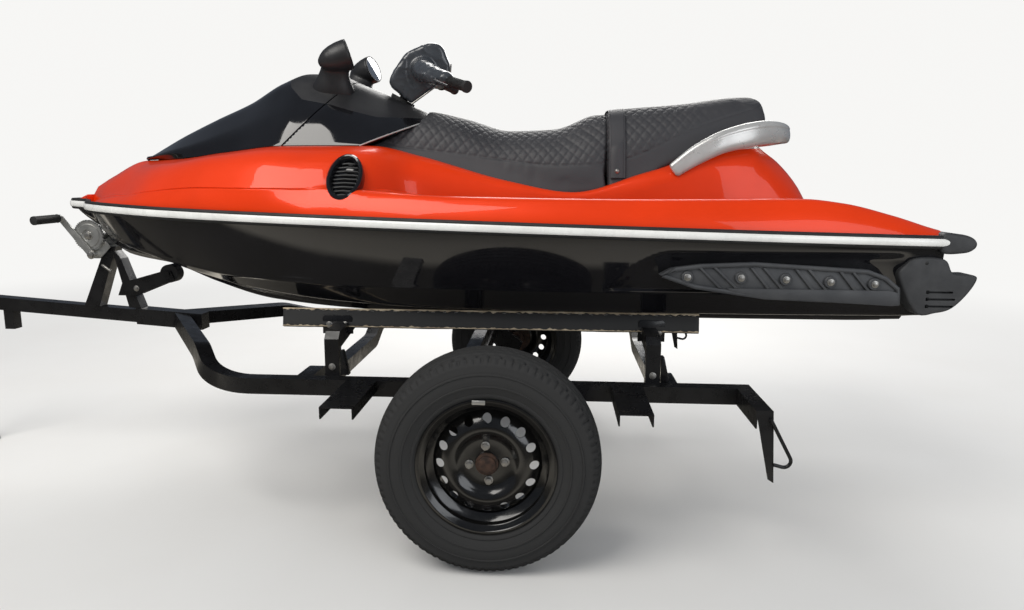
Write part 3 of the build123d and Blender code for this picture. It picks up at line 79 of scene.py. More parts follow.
# share, base y, flank z, shoulder y, shoulder z, top y, top z
SADDLE = (
    (0.040, 0.105, 500, 0.040, 520, 0.020, 541), (0.066, 0.240, 520, 0.150, 552, 0.060, 581),
    (0.109, 0.430, 555, 0.280, 596, 0.080, 638), (0.170, 0.650, 585, 0.520, 612, 0.300, 642),
    (0.240, 0.780, 600, 0.680, 640, 0.440, 664), (0.312, 0.870, 600, 0.740, 656, 0.550, 683),
    (0.400, 0.800, 590, 0.680, 655, 0.520, 685), (0.447, 0.600, 545, 0.560, 600, 0.470, 655),
    (0.545, 0.520, 480, 0.510, 520, 0.480, 572), (0.614, 0.510, 470, 0.500, 500, 0.490, 537),
    (0.686, 0.520, 500, 0.500, 560, 0.465, 599), (0.722, 0.530, 520, 0.490, 600, 0.430, 636),
    (0.744, 0.530, 520, 0.480, 640, 0.390, 694), (0.775, 0.530, 520, 0.470, 660, 0.330, 748),
    (0.800, 0.520, 500, 0.450, 650, 0.300, 765), (0.812, 0.510, 490, 0.440, 630, 0.290, 700),
    (0.835, 0.500, 470, 0.430, 560, 0.280, 645), (0.856, 0.480, 440, 0.420, 490, 0.270, 575),
    (0.872, 0.460, 400, 0.410, 430, 0.260, 490),
)
# share, side y, crown y, side rise, crown z
CROWN = (
    (0.111, 0.100, 0.040, 6, 650), (0.164, 0.280, 0.120, 28, 731), (0.205, 0.345, 0.145, 45, 789),
    (0.246, 0.380, 0.160, 66, 844), (0.285, 0.420, 0.175, 84, 913), (0.315, 0.440, 0.180, 95, 943),
    (0.345, 0.440, 0.175, 96, 940), (0.375, 0.410, 0.160, 92, 905), (0.410, 0.370, 0.150, 86, 860),
    (0.450, 0.330, 0.140, 95, 805),
)
# share, underside y, waist y, top y, top z, underside z
SEAT = (
    (0.400, 0.420, 0.360, 0.230, 800, 662), (0.447, 0.400, 0.350, 0.220, 812, 630),
    (0.492, 0.410, 0.350, 0.220, 786, 590), (0.543, 0.430, 0.370, 0.240, 745, 548),
    (0.592, 0.440, 0.390, 0.260, 751, 520), (0.648, 0.430, 0.380, 0.260, 814, 535),
    (0.731, 0.380, 0.340, 0.240, 837, 645), (0.790, 0.300, 0.280, 0.200, 862, 735),
    (0.815, 0.260, 0.240, 0.160, 866, 768), (0.828, 0.230, 0.200, 0.110, 852, 772),
)
# share, z where the quilting ends on the front and on the rear cushion
QUILT_FRONT = ((0.400, 706), (0.433, 684), (0.498, 659), (0.541, 642), (0.595, 625), (0.650, 630))
QUILT_REAR = ((0.650, 642), (0.672, 650), (0.691, 671), (0.727, 727), (0.753, 762), (0.828, 840))
HOOD_START, HOOD_END, HOOD_END_Z, HOOD_LEAN, HOOD_SPLIT, CONSOLE_END = 0.111, 0.310, 0.695, 0.84, 0.006, 0.452
# share, z over the base line
SEAT_JOINT = ((0.330, 600), (0.390, 685), (0.452, 773), (0.446, 813), (0.440, 900))
SPONSON = ((0.694, 303), (0.705, 324), (0.731, 336), (0.781, 344), (0.887, 324), (0.904, 303), (0.916, 270),
           (0.917, 222), (0.792, 237), (0.725, 268))
GRILLE_SHARE, GRILLE_HALF_WIDTH, GRILLE_HALF_HEIGHT, GRILLE_INSET, GRILLE_DROP = 0.388, 0.054, 0.088, 0.020, 0.045
# steering axis: foot x and z, lean aft, turn of the bar as it stands
STEER_X, STEER_Z, STEER_LEAN, STEER_TURN = 0.120, 1.335, 28.0, 12.0


# ---- numbers -------------------------------------------------------------------------------------

def smooth(table, column, share):
    """Value of a table's column at a share, eased between its rows; heights come back in metres."""
    scale = 0.001 if abs(table[0][column]) > 2 or abs(table[-1][column]) > 2 or table[1][column] > 2 else 1.0
    if share <= table[0][0]:
        return table[0][column] * scale
    if share >= table[-1][0]:
        return table[-1][column] * scale
    k = max(i for i in range(len(table) - 1) if table[i][0] <= share)

    def pitch(i):
        return (table[i + 1][column] - table[i][column]) / (table[i + 1][0] - table[i][0])

    def tangent(i):
        if i in (0, len(table) - 1):
            return pitch(min(i, len(table) - 2))
        before, after = pitch(i - 1), pitch(i)
        return 0 if before * after <= 0 else 2 * before * after / (before + after)

    width = table[k + 1][0] - table[k][0]
    t = (share - table[k][0]) / width
    rise = (1 - t) ** 2 * (1 + 2 * t) * table[k][column] + t * t * (3 - 2 * t) * table[k + 1][column]
    return scale * (rise + width * (t * (1 - t) ** 2 * tangent(k) - t * t * (1 - t) * tangent(k + 1)))


def place(share):
    """X of a share of the craft's length."""
    return BOW_X + share * CRAFT_LENGTH


def share_at(x):
    """Share of the craft's length at an X."""
    return (x - BOW_X) / CRAFT_LENGTH


def rail_z(x):
    """Height of the joint of hull and deck."""
    return BASE_Z + RAIL_HEIGHT - RAIL_FALL * (x - place(0.55))


def ease(low, high, t):
    """0 below low, 1 above high, smooth between."""
    t = min(max((t - low) / (high - low), 0.0), 1.0)
    return t * t * (3 - 2 * t)


def mix(a, b, t):
    """Value between a and b."""
    return a + (b - a) * t


def beam_at(share):
    """Half beam at the rail, closed to a round nose ahead of the stem."""
    if share >= HULL[0][0]:
        return smooth(HULL, 1, share) * HALF_BEAM
    for (low, a), (high, b) in zip(NOSE, NOSE[1:]):
        if share <= high:
            return mix(a, b, max(share - low, 0.0) / (high - low))
    return NOSE[-1][1]


def rounded(points, radii, steps=4, fill=0):
    """Polyline through 2-D points, its corners eased; every call gives the same count of points."""
    spots = [Vector(p) for p in points]
    out = [spots[0]]
    for i in range(1, len(spots) - 1):
        back, ahead = spots[i - 1] - spots[i], spots[i + 1] - spots[i]
        reach = min(radii[i - 1], 0.48 * back.length, 0.48 * ahead.length)
        start, stop = spots[i] + back.normalized() * reach, spots[i] + ahead.normalized() * reach
        last = out[-1]
        for k in range(1, fill + 1):
            out.append(last.lerp(start, k / (fill + 1)))
        for k in range(steps + 1):
            t = k / steps
            out.append(start * (1 - t) ** 2 + spots[i] * (2 * t * (1 - t)) + stop * t ** 2)
    last = out[-1]
    for k in range(1, fill + 1):
        out.append(last.lerp(spots[-1], k / (fill + 1)))
    return out + [spots[-1]]


# ---- meshes --------------------------------------------------------------------------------------

def painted(mesh, material):
    """The mesh in one material of the table."""
    mesh.materials.clear()
    mesh.materials.append(made_of(material))
    return mesh


def add_object(name, mesh, body="root", material=None, angle=35.0):
    """Links a mesh as a piece that rides on a body."""
    obj = bpy.data.objects.new(name, mesh)
    bpy.context.scene.collection.objects.link(obj)
    if material:
        painted(mesh, material)
    mesh.polygons.foreach_set("use_smooth", [True] * len(mesh.polygons))
    if angle < 180:
        mesh.set_sharp_from_angle(angle=math.radians(angle))
    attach(obj, body)
    return obj


def opened(mesh):
    """Mesh as a bmesh to work on."""
    bm = bmesh.new()
    bm.from_mesh(mesh)
    return bm


def closed(bm, mesh):
    """Writes a bmesh into a mesh and frees it."""
    bm.to_mesh(mesh)
    bm.free()
    return mesh


def welded(mesh):
    """Mesh whose doubled points are one, its faces turned outwards."""
    bm = opened(mesh)
    bmesh.ops.remove_doubles(bm, verts=bm.verts, dist=1e-6)
    bmesh.ops.recalc_face_normals(bm, faces=bm.faces)
    return closed(bm, mesh)


def grid_mesh(name, rows, ring=False, cap_start=False, cap_end=False):
    """Mesh through rows of points; ring closes each row on itself."""
    mesh = bpy.data.meshes.new(name)
    width = len(rows[0])
    verts = [tuple(p) for row in rows for p in row]
    faces = []
    for i in range(len(rows) - 1):
        for j in range(width if ring else width - 1):
            a, b = i * width + j, i * width + (j + 1) % width
            faces.append((a, b, b + width, a + width))
    if cap_start:
        faces.append(tuple(reversed(range(width))))
    if cap_end:
        faces.append(tuple(range((len(rows) - 1) * width, len(rows) * width)))
    mesh.from_pydata(verts, [], faces)
    mesh.validate()
    bm = opened(mesh)
    bmesh.ops.recalc_face_normals(bm, faces=bm.faces)
    return closed(bm, mesh)


def face_up(mesh, way=Vector((0, 0, 1))):
    """Turns an open sheet so that it mostly faces one way."""
    total = sum(p.normal.dot(way) * p.area for p in mesh.polygons)
    if total < 0:
        mesh.flip_normals()
    return mesh


def mirror_row(half):
    """Full row from a starboard half that starts on the centre plane."""
    return [Vector((p[0], -p[1], p[2])) for p in reversed(half[1:])] + [Vector(p) for p in half]


def joined(name, meshes):
    """One mesh from several, materials kept."""
    bm = bmesh.new()
    slots = []
    for mesh in meshes:
        first = len(bm.faces)
        offset = {}
        for i, material in enumerate(mesh.materials):
            if material not in slots:
                slots.append(material)
            offset[i] = slots.index(material)
        bm.from_mesh(mesh)
        bm.faces.ensure_lookup_table()
        for face in bm.faces[first:]:
            face.material_index = offset.get(face.material_index, 0)
    out = closed(bm, bpy.data.meshes.new(name))
    for material in slots:
        out.materials.append(material)
    return out


def applied(obj):
    """Mesh of an object with its modifiers applied; the object goes."""
    graph = bpy.context.evaluated_depsgraph_get()
    mesh = bpy.data.meshes.new_from_object(obj.evaluated_get(graph))
    bpy.data.objects.remove(obj)
    return mesh


def loose(mesh):
    """Temporary object for a mesh."""
    obj = bpy.data.objects.new("work", mesh)
    bpy.context.scene.collection.objects.link(obj)
    bpy.context.view_layer.update()
    return obj


def modified(mesh, *steps):
    """Mesh after a row of modifiers, each (type, {settings})."""
    obj = loose(mesh)
    for kind, settings in steps:
        modifier = obj.modifiers.new(kind.title(), kind)
        for key, value in settings.items():
            setattr(modifier, key, value)
    return applied(obj)


def box_mesh(low, high, radius=0.0, steps=3):
    """Box between corners, its edges rounded."""
    bm = bmesh.new()
    bmesh.ops.create_cube(bm, size=1.0)
    low, high = Vector(low), Vector(high)
    for v in bm.verts:
        v.co = Vector([mix(low[i], high[i], v.co[i] + 0.5) for i in range(3)])
    if radius:
        bmesh.ops.bevel(bm, geom=bm.edges[:], offset=radius, segments=steps, profile=0.5, affect="EDGES")
    return closed(bm, bpy.data.meshes.new("box"))


def prism_mesh(outline, low, high, axis=1, radius=0.0, steps=2):
    """Plate with an outline across one axis, its edges rounded."""
    bm = bmesh.new()

    def spot(p, t):
        spare = list(p)
        return Vector([t if i == axis else spare.pop(0) for i in range(3)])

    near, far = [bm.verts.new(spot(p, low)) for p in outline], [bm.verts.new(spot(p, high)) for p in outline]
    count = len(outline)
    bm.faces.new(near)
    bm.faces.new(far[::-1])
    for i in range(count):
        bm.faces.new((near[i], far[i], far[(i + 1) % count], near[(i + 1) % count]))
    bmesh.ops.recalc_face_normals(bm, faces=bm.faces)
    if radius:
        bmesh.ops.bevel(bm, geom=bm.edges[:], offset=radius, segments=steps, profile=0.5, affect="EDGES")
    return closed(bm, bpy.data.meshes.new("prism"))


def turned_mesh(profile, centre, axis, steps=48):
    """Solid or shell of revolution: profile of (radius, height along axis)."""
    axis = Vector(axis).normalized()
    side = axis.orthogonal().normalized()
    other = axis.cross(side)
    rows = []
    for k in range(steps):
        turn = 2 * math.pi * k / steps
        way = side * math.cos(turn) + other * math.sin(turn)
        rows.append([Vector(centre) + way * r + axis * h for r, h in profile])
    rows.append(rows[0])
    return welded(grid_mesh("turned", rows))


def rod_mesh(start, end, radius, round_end=0.002, steps=20, radius_end=None):
    """Round bar with eased ends."""
    start, end = Vector(start), Vector(end)
    length = (end - start).length
    last = radius if radius_end is None else radius_end
    ease_by = min(round_end, length / 3, radius / 2, last / 2)
    profile = [(0.0, 0.0), (radius - ease_by, 0.0), (radius - ease_by * 0.3, ease_by * 0.3), (radius, ease_by),
               (last, length - ease_by), (last - ease_by * 0.3, length - ease_by * 0.3), (last - ease_by, length),
               (0.0, length)]
    return turned_mesh(profile, start, end - start, steps)


def sweep_mesh(path, section, up=Vector((0, 0, 1)), closed=False, caps=True):
    """Section of (across, up) swept along points."""
    rows = []
    count = len(path)
    for i, point in enumerate(path):
        before = path[i - 1] if i or closed else point
        after = path[(i + 1) % count] if i < count - 1 or closed else point
        way = (Vector(after) - Vector(before)).normalized()
        across = way.cross(up).normalized()
        lift = across.cross(way).normalized()
        rows.append([Vector(point) + across * a + lift * b for a, b in section])
    if closed:
        rows.append(rows[0])
    return grid_mesh("sweep", rows, ring=True, cap_start=caps and not closed, cap_end=caps and not closed)


def circle(radius, steps=12, squash=1.0):
    """Round or squashed section of (across, up)."""
    return [(radius * math.cos(2 * math.pi * k / steps), squash * radius * math.sin(2 * math.pi * k / steps))
            for k in range(steps)]


def curve_points(points, count, closed=False):
    """Even run of points on a smooth line through given points."""
    spots = [Vector(p) for p in points]
    if closed:
        spots = [spots[-1]] + spots + spots[:2]
    else:
        spots = [spots[0] * 2 - spots[1]] + spots + [spots[-1] * 2 - spots[-2]]
    out = []
    spans = len(spots) - 3
    for k in range(count):
        t = k / (count if closed else count - 1) * spans
        i = min(int(t), spans - 1)
        t -= i
        a, b, c, d = spots[i:i + 4]
        out.append(0.5 * (2 * b + (c - a) * t + (2 * a - 5 * b + 4 * c - d) * t * t
                          + (3 * b - a - 3 * c + d) * t ** 3))
    return out


def transformed(mesh, matrix):
    """Moved or mirrored copy of a mesh."""
    mesh = mesh.copy()
    mesh.transform(matrix)
    if matrix.determinant() < 0:
        mesh.flip_normals()
    return mesh


FLIP_Y = Matrix.Scale(-1, 4, (0, 1, 0))


def both_sides(mesh):
    """Mesh with its mirrored twin."""
    return joined("pair", [mesh, transformed(mesh, FLIP_Y)])


def pair(name, build):
    """Port and starboard mesh of a piece that is built for a side."""
    return joined(name, [build(side) for side in (-1, 1)])


# ---- materials -----------------------------------------------------------------------------------

def surface(name, colour, rough, metal=0.0, coat=0.0, coat_rough=0.03, tone=None, tone_scale=6.0, tone_mix=0.5,
            rough_to=None, rough_scale=30.0, bumps=(), spots=None, specular=0.5):
    """Procedural material: colour with a second tone, roughness that varies, grain or cell bumps, spots of wear."""
    if name in bpy.data.materials:
        return bpy.data.materials[name]
    material = bpy.data.materials.new(name)
    material.use_nodes = True
    nodes, links = material.node_tree.nodes, material.node_tree.links
    shader = nodes["Principled BSDF"]
    shader.inputs["Base Color"].default_value = (*colour, 1)
    shader.inputs["Roughness"].default_value = rough
    shader.inputs["Metallic"].default_value = metal
    shader.inputs["Coat Weight"].default_value = coat
    shader.inputs["Coat Roughness"].default_value = coat_rough
    shader.inputs["Specular IOR Level"].default_value = specular
    where = nodes.new("ShaderNodeTexCoord").outputs["Object"]
    colour_out = None

    def noise_node(scale, detail=4.0, rough_=0.55, kind="ShaderNodeTexNoise"):
        node = nodes.new(kind)
        node.inputs["Scale"].default_value = scale
        if kind == "ShaderNodeTexNoise":
            node.inputs["Detail"].default_value = detail
            node.inputs["Roughness"].default_value = rough_
        links.new(where, node.inputs["Vector"])
        return node

    def ramp(source, low, high):
        node = nodes.new("ShaderNodeMapRange")
        node.inputs["From Min"].default_value, node.inputs["From Max"].default_value = low, high
        links.new(source, node.inputs["Value"])
        return node

    def mixed(factor, first, second, amount=1.0):
        node = nodes.new("ShaderNodeMix")
        node.data_type = "RGBA"
        reach = ramp(factor, 0.0, 1.0)
        reach.inputs["To Max"].default_value = amount
        links.new(reach.outputs[0], node.inputs[0])
        for socket, value in ((node.inputs[6], first), (node.inputs[7], second)):
            if hasattr(value, "is_linked"):
                links.new(value, socket)
            else:
                socket.default_value = (*value, 1)
        return node.outputs[2]

    if tone:
        soft = ramp(noise_node(tone_scale).outputs["Fac"], 0.38, 0.66)
        colour_out = mixed(soft.outputs[0], colour, tone, tone_mix)
    if spots:
        spot_colour, spot_scale, spot_low, spot_rough = spots
        mask = ramp(noise_node(spot_scale, 8.0, 0.7).outputs["Fac"], spot_low, spot_low + 0.06)
        colour_out = mixed(mask.outputs[0], colour_out or colour, spot_colour, 1.0)
    if colour_out:
        links.new(colour_out, shader.inputs["Base Color"])
    if rough_to is not None:
        level = ramp(noise_node(rough_scale, 6.0, 0.6).outputs["Fac"], 0.35, 0.7)
        level.inputs["To Min"].default_value, level.inputs["To Max"].default_value = rough, rough_to
        out = level.outputs[0]
        if spots:
            add = nodes.new("ShaderNodeMath")
            add.operation = "MULTIPLY_ADD"
            links.new(mask.outputs[0], add.inputs[0])
            add.inputs[1].default_value = spot_rough - rough
            links.new(out, add.inputs[2])
            out = add.outputs[0]
        links.new(out, shader.inputs["Roughness"])
    last = None
    for kind, scale, strength, distance in bumps:
        if kind == "grain":
            source = noise_node(scale, 3.0, 0.5).outputs["Fac"]
        else:
            source = noise_node(scale, kind="ShaderNodeTexVoronoi").outputs["Distance"]
        bump = nodes.new("ShaderNodeBump")
        bump.inputs["Strength"].default_value = strength
        bump.inputs["Distance"].default_value = distance
        links.new(source, bump.inputs["Height"])
        if last:
            links.new(last, bump.inputs["Normal"])
        last = bump.outputs["Normal"]
    if last:
        links.new(last, shader.inputs["Normal"])
    return material


def chosen(name, share=1.0):
    """Colour picked in the panel, darkened or lightened."""
    return tuple(channel * share for channel in getattr(bpy.context.scene.wc_sizes, name))


# looks: settings of surface(); a colour given as (name, share) is one that the panel picks
MATERIALS = {
    "gel_red": dict(colour=("deck_colour", 1.0), rough=0.34, metal=0.12, coat=0.4, coat_rough=0.02, specular=0.15,
        tone=("deck_colour", 0.80), tone_scale=3.0, tone_mix=0.5, rough_to=0.38, rough_scale=60,
        bumps=(("grain", 900, 0.03, 0.0005),)),
    "gel_black": dict(colour=("hull_colour", 1.0), rough=0.05, coat=0.4, coat_rough=0.02, tone=("hull_colour", 1.8),
        tone_scale=4.0, rough_to=0.13, rough_scale=25, bumps=(("grain", 5, 0.05, 0.004),)),
    "hood_black": dict(colour=("hull_colour", 0.8), rough=0.06, coat=0.5, coat_rough=0.02, tone=("hull_colour", 1.6),
        rough_to=0.12, rough_scale=18),
    "cap_black": dict(colour=(0.012, 0.012, 0.013), rough=0.38, tone=(0.02, 0.02, 0.022), tone_scale=12, rough_to=0.5,
        bumps=(("grain", 700, 0.12, 0.0004),)),
    "plastic_dark": dict(colour=(0.035, 0.037, 0.041), rough=0.50, tone=(0.055, 0.057, 0.060), tone_scale=14,
        tone_mix=0.7, rough_to=0.62, bumps=(("grain", 420, 0.25, 0.0006), ("cells", 160, 0.08, 0.0008))),
    "plastic_cap": dict(colour=(0.028, 0.029, 0.031), rough=0.55, tone=(0.045, 0.046, 0.048), tone_scale=18,
        tone_mix=0.7, rough_to=0.68, bumps=(("grain", 380, 0.3, 0.0008),)),
    "rubber": dict(colour=(0.012, 0.012, 0.012), rough=0.55, tone=(0.022, 0.022, 0.022), tone_scale=20, rough_to=0.7,
        bumps=(("grain", 300, 0.15, 0.0006),)),
    "tyre_rubber": dict(colour=(0.0045, 0.0045, 0.0050), rough=0.24, coat=0.9, coat_rough=0.07, specular=0.2,
        tone=(0.010, 0.010, 0.010), tone_scale=12, tone_mix=0.8, rough_to=0.40, rough_scale=14,
        bumps=(("grain", 180, 0.15, 0.0008),)),
    "strip": dict(colour=(0.78, 0.78, 0.75), rough=0.22, tone=(0.60, 0.60, 0.57), tone_scale=9, rough_to=0.35,
        coat=0.3),
    "silver": dict(colour=("silver_colour", 1.0), rough=0.26, metal=0.45, coat=0.6, tone=(0.40, 0.40, 0.39),
        tone_scale=7, rough_to=0.36, bumps=(("grain", 800, 0.04, 0.0004),)),
    "seat_vinyl": dict(colour=("seat_colour", 1.0), rough=0.40, tone=("seat_colour", 1.4), tone_scale=10,
        rough_to=0.52, specular=0.35, bumps=(("cells", 520, 0.22, 0.0008), ("grain", 1100, 0.12, 0.0004))),
    "frame_paint": dict(colour=("frame_colour", 1.0), rough=0.22, coat=0.15, specular=0.4, tone=("frame_colour", 2.2),
        tone_scale=9, rough_to=0.42, rough_scale=22, spots=((0.10, 0.055, 0.032), 22, 0.70, 0.75),
        bumps=(("grain", 55, 0.18, 0.0014), ("grain", 400, 0.06, 0.0004))),
    "wheel_paint": dict(colour=(0.0045, 0.0045, 0.0045), rough=0.10, coat=0.4, tone=(0.010, 0.0095, 0.009),
        tone_scale=14, rough_to=0.28, rough_scale=18, spots=((0.13, 0.06, 0.03), 30, 0.72, 0.7),
        bumps=(("grain", 45, 0.22, 0.0012),)),
    "zinc": dict(colour=(0.62, 0.62, 0.60), rough=0.30, metal=0.9, tone=(0.44, 0.44, 0.42), tone_scale=26,
        rough_to=0.5, spots=((0.30, 0.22, 0.14), 40, 0.68, 0.8), bumps=(("cells", 140, 0.08, 0.0006),)),
    "bright_steel": dict(colour=(0.40, 0.39, 0.37), rough=0.34, metal=0.9, tone=(0.24, 0.23, 0.21), tone_scale=60,
        rough_to=0.5),
    "rusty_iron": dict(colour=(0.060, 0.030, 0.018), rough=0.66, metal=0.25, tone=(0.022, 0.014, 0.011),
        tone_scale=60, tone_mix=0.9, rough_to=0.9, bumps=(("grain", 220, 0.6, 0.0015),)),
    "pump_alloy": dict(colour=(0.42, 0.42, 0.43), rough=0.42, metal=0.85, tone=(0.28, 0.28, 0.29), tone_scale=18,
        rough_to=0.6, bumps=(("grain", 260, 0.25, 0.0008),)),
    "deck_mat": dict(colour=(0.045, 0.046, 0.048), rough=0.75, tone=(0.065, 0.066, 0.068), tone_scale=30,
        rough_to=0.85, bumps=(("cells", 130, 0.7, 0.002),)),
    "bunk_vinyl": dict(colour=(0.010, 0.010, 0.011), rough=0.33, tone=(0.022, 0.021, 0.020), tone_scale=10,
        rough_to=0.55, bumps=(("grain", 34, 0.55, 0.006), ("grain", 400, 0.1, 0.0005))),
    "bunk_lining": dict(colour=(0.50, 0.42, 0.30), rough=0.85, tone=(0.24, 0.18, 0.12), tone_scale=22, tone_mix=0.9,
        rough_to=0.95, bumps=(("grain", 120, 0.8, 0.004),)),
    # dark glass: a painted dark reflection stands in for what the mirror shows
    "mirror_glass": dict(colour=(0.05, 0.056, 0.064), rough=0.24, metal=0.6, tone=(0.04, 0.045, 0.05), tone_scale=8),
    "pad_film": dict(colour=(0.030, 0.034, 0.040), rough=0.24, coat=0.5, coat_rough=0.08, tone=(0.060, 0.066, 0.074),
        tone_scale=9, tone_mix=0.7, rough_to=0.36, rough_scale=30, bumps=(("grain", 26, 0.22, 0.004),)),
}


def made_of(name):
    """Material of a name in the table, the panel's colours filled in."""
    settings = dict(MATERIALS[name])
    for key in ("colour", "tone"):
        if key in settings and isinstance(settings[key][0], str):
            settings[key] = chosen(*settings[key])
    return surface(name, **settings)


PALE = (0.93, 0.925, 0.91, 1)


def floor_look():
    """Pale floor fading to the pale background with distance; reflections see painted shade and a painted sun band."""
    material = surface("floor", (0.74, 0.735, 0.72), 0.7, tone=(0.71, 0.70, 0.68), tone_scale=1.5)
    nodes, links = material.node_tree.nodes, material.node_tree.links
    where, length = nodes.new("ShaderNodeTexCoord"), nodes.new("ShaderNodeVectorMath")
    length.operation = "LENGTH"
    links.new(where.outputs["Object"], length.inputs[0])
    reach = nodes.new("ShaderNodeMapRange")
    reach.interpolation_type = "SMOOTHSTEP"
    reach.inputs["From Min"].default_value, reach.inputs["From Max"].default_value = 2.2, 7.0
    links.new(length.outputs["Value"], reach.inputs["Value"])
    glow, painted_reflection = nodes.new("ShaderNodeEmission"), nodes.new("ShaderNodeBsdfDiffuse")
    glow.inputs[0].default_value = PALE
    parts, away, band = (nodes.new("ShaderNode" + kind) for kind in ("SeparateXYZ", "Math", "ValToRGB"))
    away.operation = "ABSOLUTE"
    links.new(where.outputs["Object"], parts.inputs[0])
    links.new(parts.outputs["Y"], away.inputs[0])
    # painted reflection: for glossy rays the floor is painted dark as shade, with a sunlit band 1.1-1.9 m out
    reach_y = nodes.new("ShaderNodeMapRange")
    reach_y.inputs["From Max"].default_value = 4.0
    links.new(away.outputs[0], reach_y.inputs["Value"])
    links.new(reach_y.outputs[0], band.inputs[0])
    stops = band.color_ramp.elements
    for i, (spot, level) in enumerate(((0.0, 0.10), (0.275, 0.10), (0.305, 0.75), (0.375, 0.60), (0.48, 0.10))):
        stop = stops[i] if i < 2 else stops.new(spot)
        stop.position, stop.color = spot, (level, 0.93 * level, 0.80 * level, 1)
    links.new(band.outputs[0], painted_reflection.inputs[0])
    last = nodes["Principled BSDF"].outputs[0]
    for factor, other in ((reach.outputs[0], glow), (nodes.new("ShaderNodeLightPath").outputs["Is Glossy Ray"], painted_reflection)):
        blend = nodes.new("ShaderNodeMixShader")
        links.new(factor, blend.inputs[0])
        links.new(last, blend.inputs[1])
        links.new(other.outputs[0], blend.inputs[2])
        last = blend.outputs[0]
    links.new(last, nodes["Material Output"].inputs[0])
    return material


# looks of the solids that stay as they are; the rest of the trailer has the frame's paint
NODE_LOOKS = {
    "deck_mats": "deck_mat", "engine_block": "pump_alloy", "jet_pump": "pump_alloy", "ride_plate": "pump_alloy",
    "steering_nozzle": "pump_alloy", "intake_grate": "pump_alloy", "reverse_bucket": "plastic_cap",
    "steering_neck": "rubber", "bow_roller": "rubber", "handlebar": "cap_black", "winch_frame": "zinc",
    "winch_drum": "zinc", "winch_crank": "zinc",
}
NODE_BEVELS = {
    "tongue": 0.004, "rail_left": 0.006, "rail_right": 0.006, "cross_members": 0.006, "axle_beam": 0.004,
    "suspension_arms": 0.003, "winch_post": 0.005, "bow_support": 0.0015, "coupler": 0.005, "stand_sleeve": 0.002,
    "prop_stand": 0.002, "lamp_brackets": 0.0008, "mudguard_brackets": 0.0010, "bunk_brackets": 0.002,
    "winch_frame": 0.001, "winch_crank": 0.0015, "reverse_bucket": 0.002, "jet_pump": 0.003,
    "steering_nozzle": 0.001, "ride_plate": 0.002, "handlebar": 0.001,
}


def dress_nodes():
    """Gives every CAD node its material, and the pressed and welded ones rounded edges."""
    for name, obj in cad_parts.items():
        painted(obj.data, NODE_LOOKS.get(name, "frame_paint"))
        obj.data.polygons.foreach_set("use_smooth", [True] * len(obj.data.polygons))
        obj.data.set_sharp_from_angle(angle=math.radians(32))
        width = NODE_BEVELS.get(name)
        if width:
            bevel = obj.modifiers.new("Edges", "BEVEL")
            bevel.width = width
            bevel.segments = 3
            bevel.limit_method = "ANGLE"
            bevel.angle_limit = math.radians(40)
            bevel.harden_normals = True


# ---- hull and deck -------------------------------------------------------------------------------

def pocket_depth(share, z):
    """How far the hull's side is recessed round the sponson."""
    top = BASE_Z + mix(0.240, 0.378, ease(0.630, 0.705, share))
    inside = ease(0.0, 0.026, top - z) * ease(0.0, 0.016, 0.930 - share) * ease(0.632, 0.660, share)
    return 0.010 * inside * ease(BASE_Z + 0.222, BASE_Z + 0.248, z)


STRAKES = ((0.34, 0.030, 0.11), (0.66, 0.028, 0.22))


def strake_drop(t, share):
    """Depth of the running strakes under the hull's bottom."""
    drop = 0.0
    for centre, half, first in STRAKES:
        near = (t - centre) / half
        if -1 < near < 1:
            drop += 0.010 * ease(first, first + 0.12, share) * (1 - ease(0.2, 1.0, near)) * ease(-1.0, -0.7, near)
    return drop


def hull_half(share):
    """Outline of the hull's starboard half from the keel to the rail."""
    keel, chine_z, crease_z = (BASE_Z + smooth(HULL, c, share) for c in (2, 4, 6))
    chine_y, crease_y = (smooth(HULL, c, share) * HALF_BEAM for c in (3, 5))
    top_y, top_z = beam_at(share), rail_z(place(share))
    if share < HULL[0][0]:
        t = (share - NOSE[0][0]) / (HULL[0][0] - NOSE[0][0])
        keel = mix(top_z - 0.020, keel, t ** 0.8)
        chine_y, crease_y = chine_y * (0.25 + 0.75 * t), min(crease_y * (0.3 + 0.7 * t), top_y * 0.8)
        chine_z, crease_z = mix(top_z - 0.016, chine_z, t ** 0.8), mix(top_z - 0.012, crease_z, t ** 0.8)
    stops = [0.0, 0.08, 0.16, 0.24, 0.30, 0.315, 0.335, 0.355, 0.37, 0.40, 0.48, 0.56, 0.62, 0.635, 0.655, 0.675,
             0.69, 0.72, 0.80, 0.88, 0.95]
    out = [(chine_y * t, mix(keel, chine_z, t) - strake_drop(t, share)) for t in stops]
    lip = 0.010 * ease(0.05, 0.2, share)
    out += [(chine_y - 0.004, chine_z - 0.002), (chine_y + lip * 0.5, chine_z + 0.0005),
            (chine_y + lip, chine_z + 0.003)]
    for k in range(1, 7):
        t = k / 7
        out.append((mix(chine_y + lip, crease_y, t), mix(chine_z + 0.003, crease_z, t) + 0.006 * t * (1 - t)))
    out += [(crease_y - 0.003, crease_z - 0.0035), (crease_y, crease_z), (crease_y + 0.0015, crease_z + 0.005)]
    for k in range(1, 25):
        t = k / 25
        z = mix(crease_z + 0.005, top_z, t)
        bulge = 0.006 * 4 * t * (1 - t) * ease(0.05, 0.3, share)
        out.append((mix(crease_y + 0.0015, top_y, t) + bulge - pocket_depth(share, z), z))
    return out + [(top_y, top_z)]


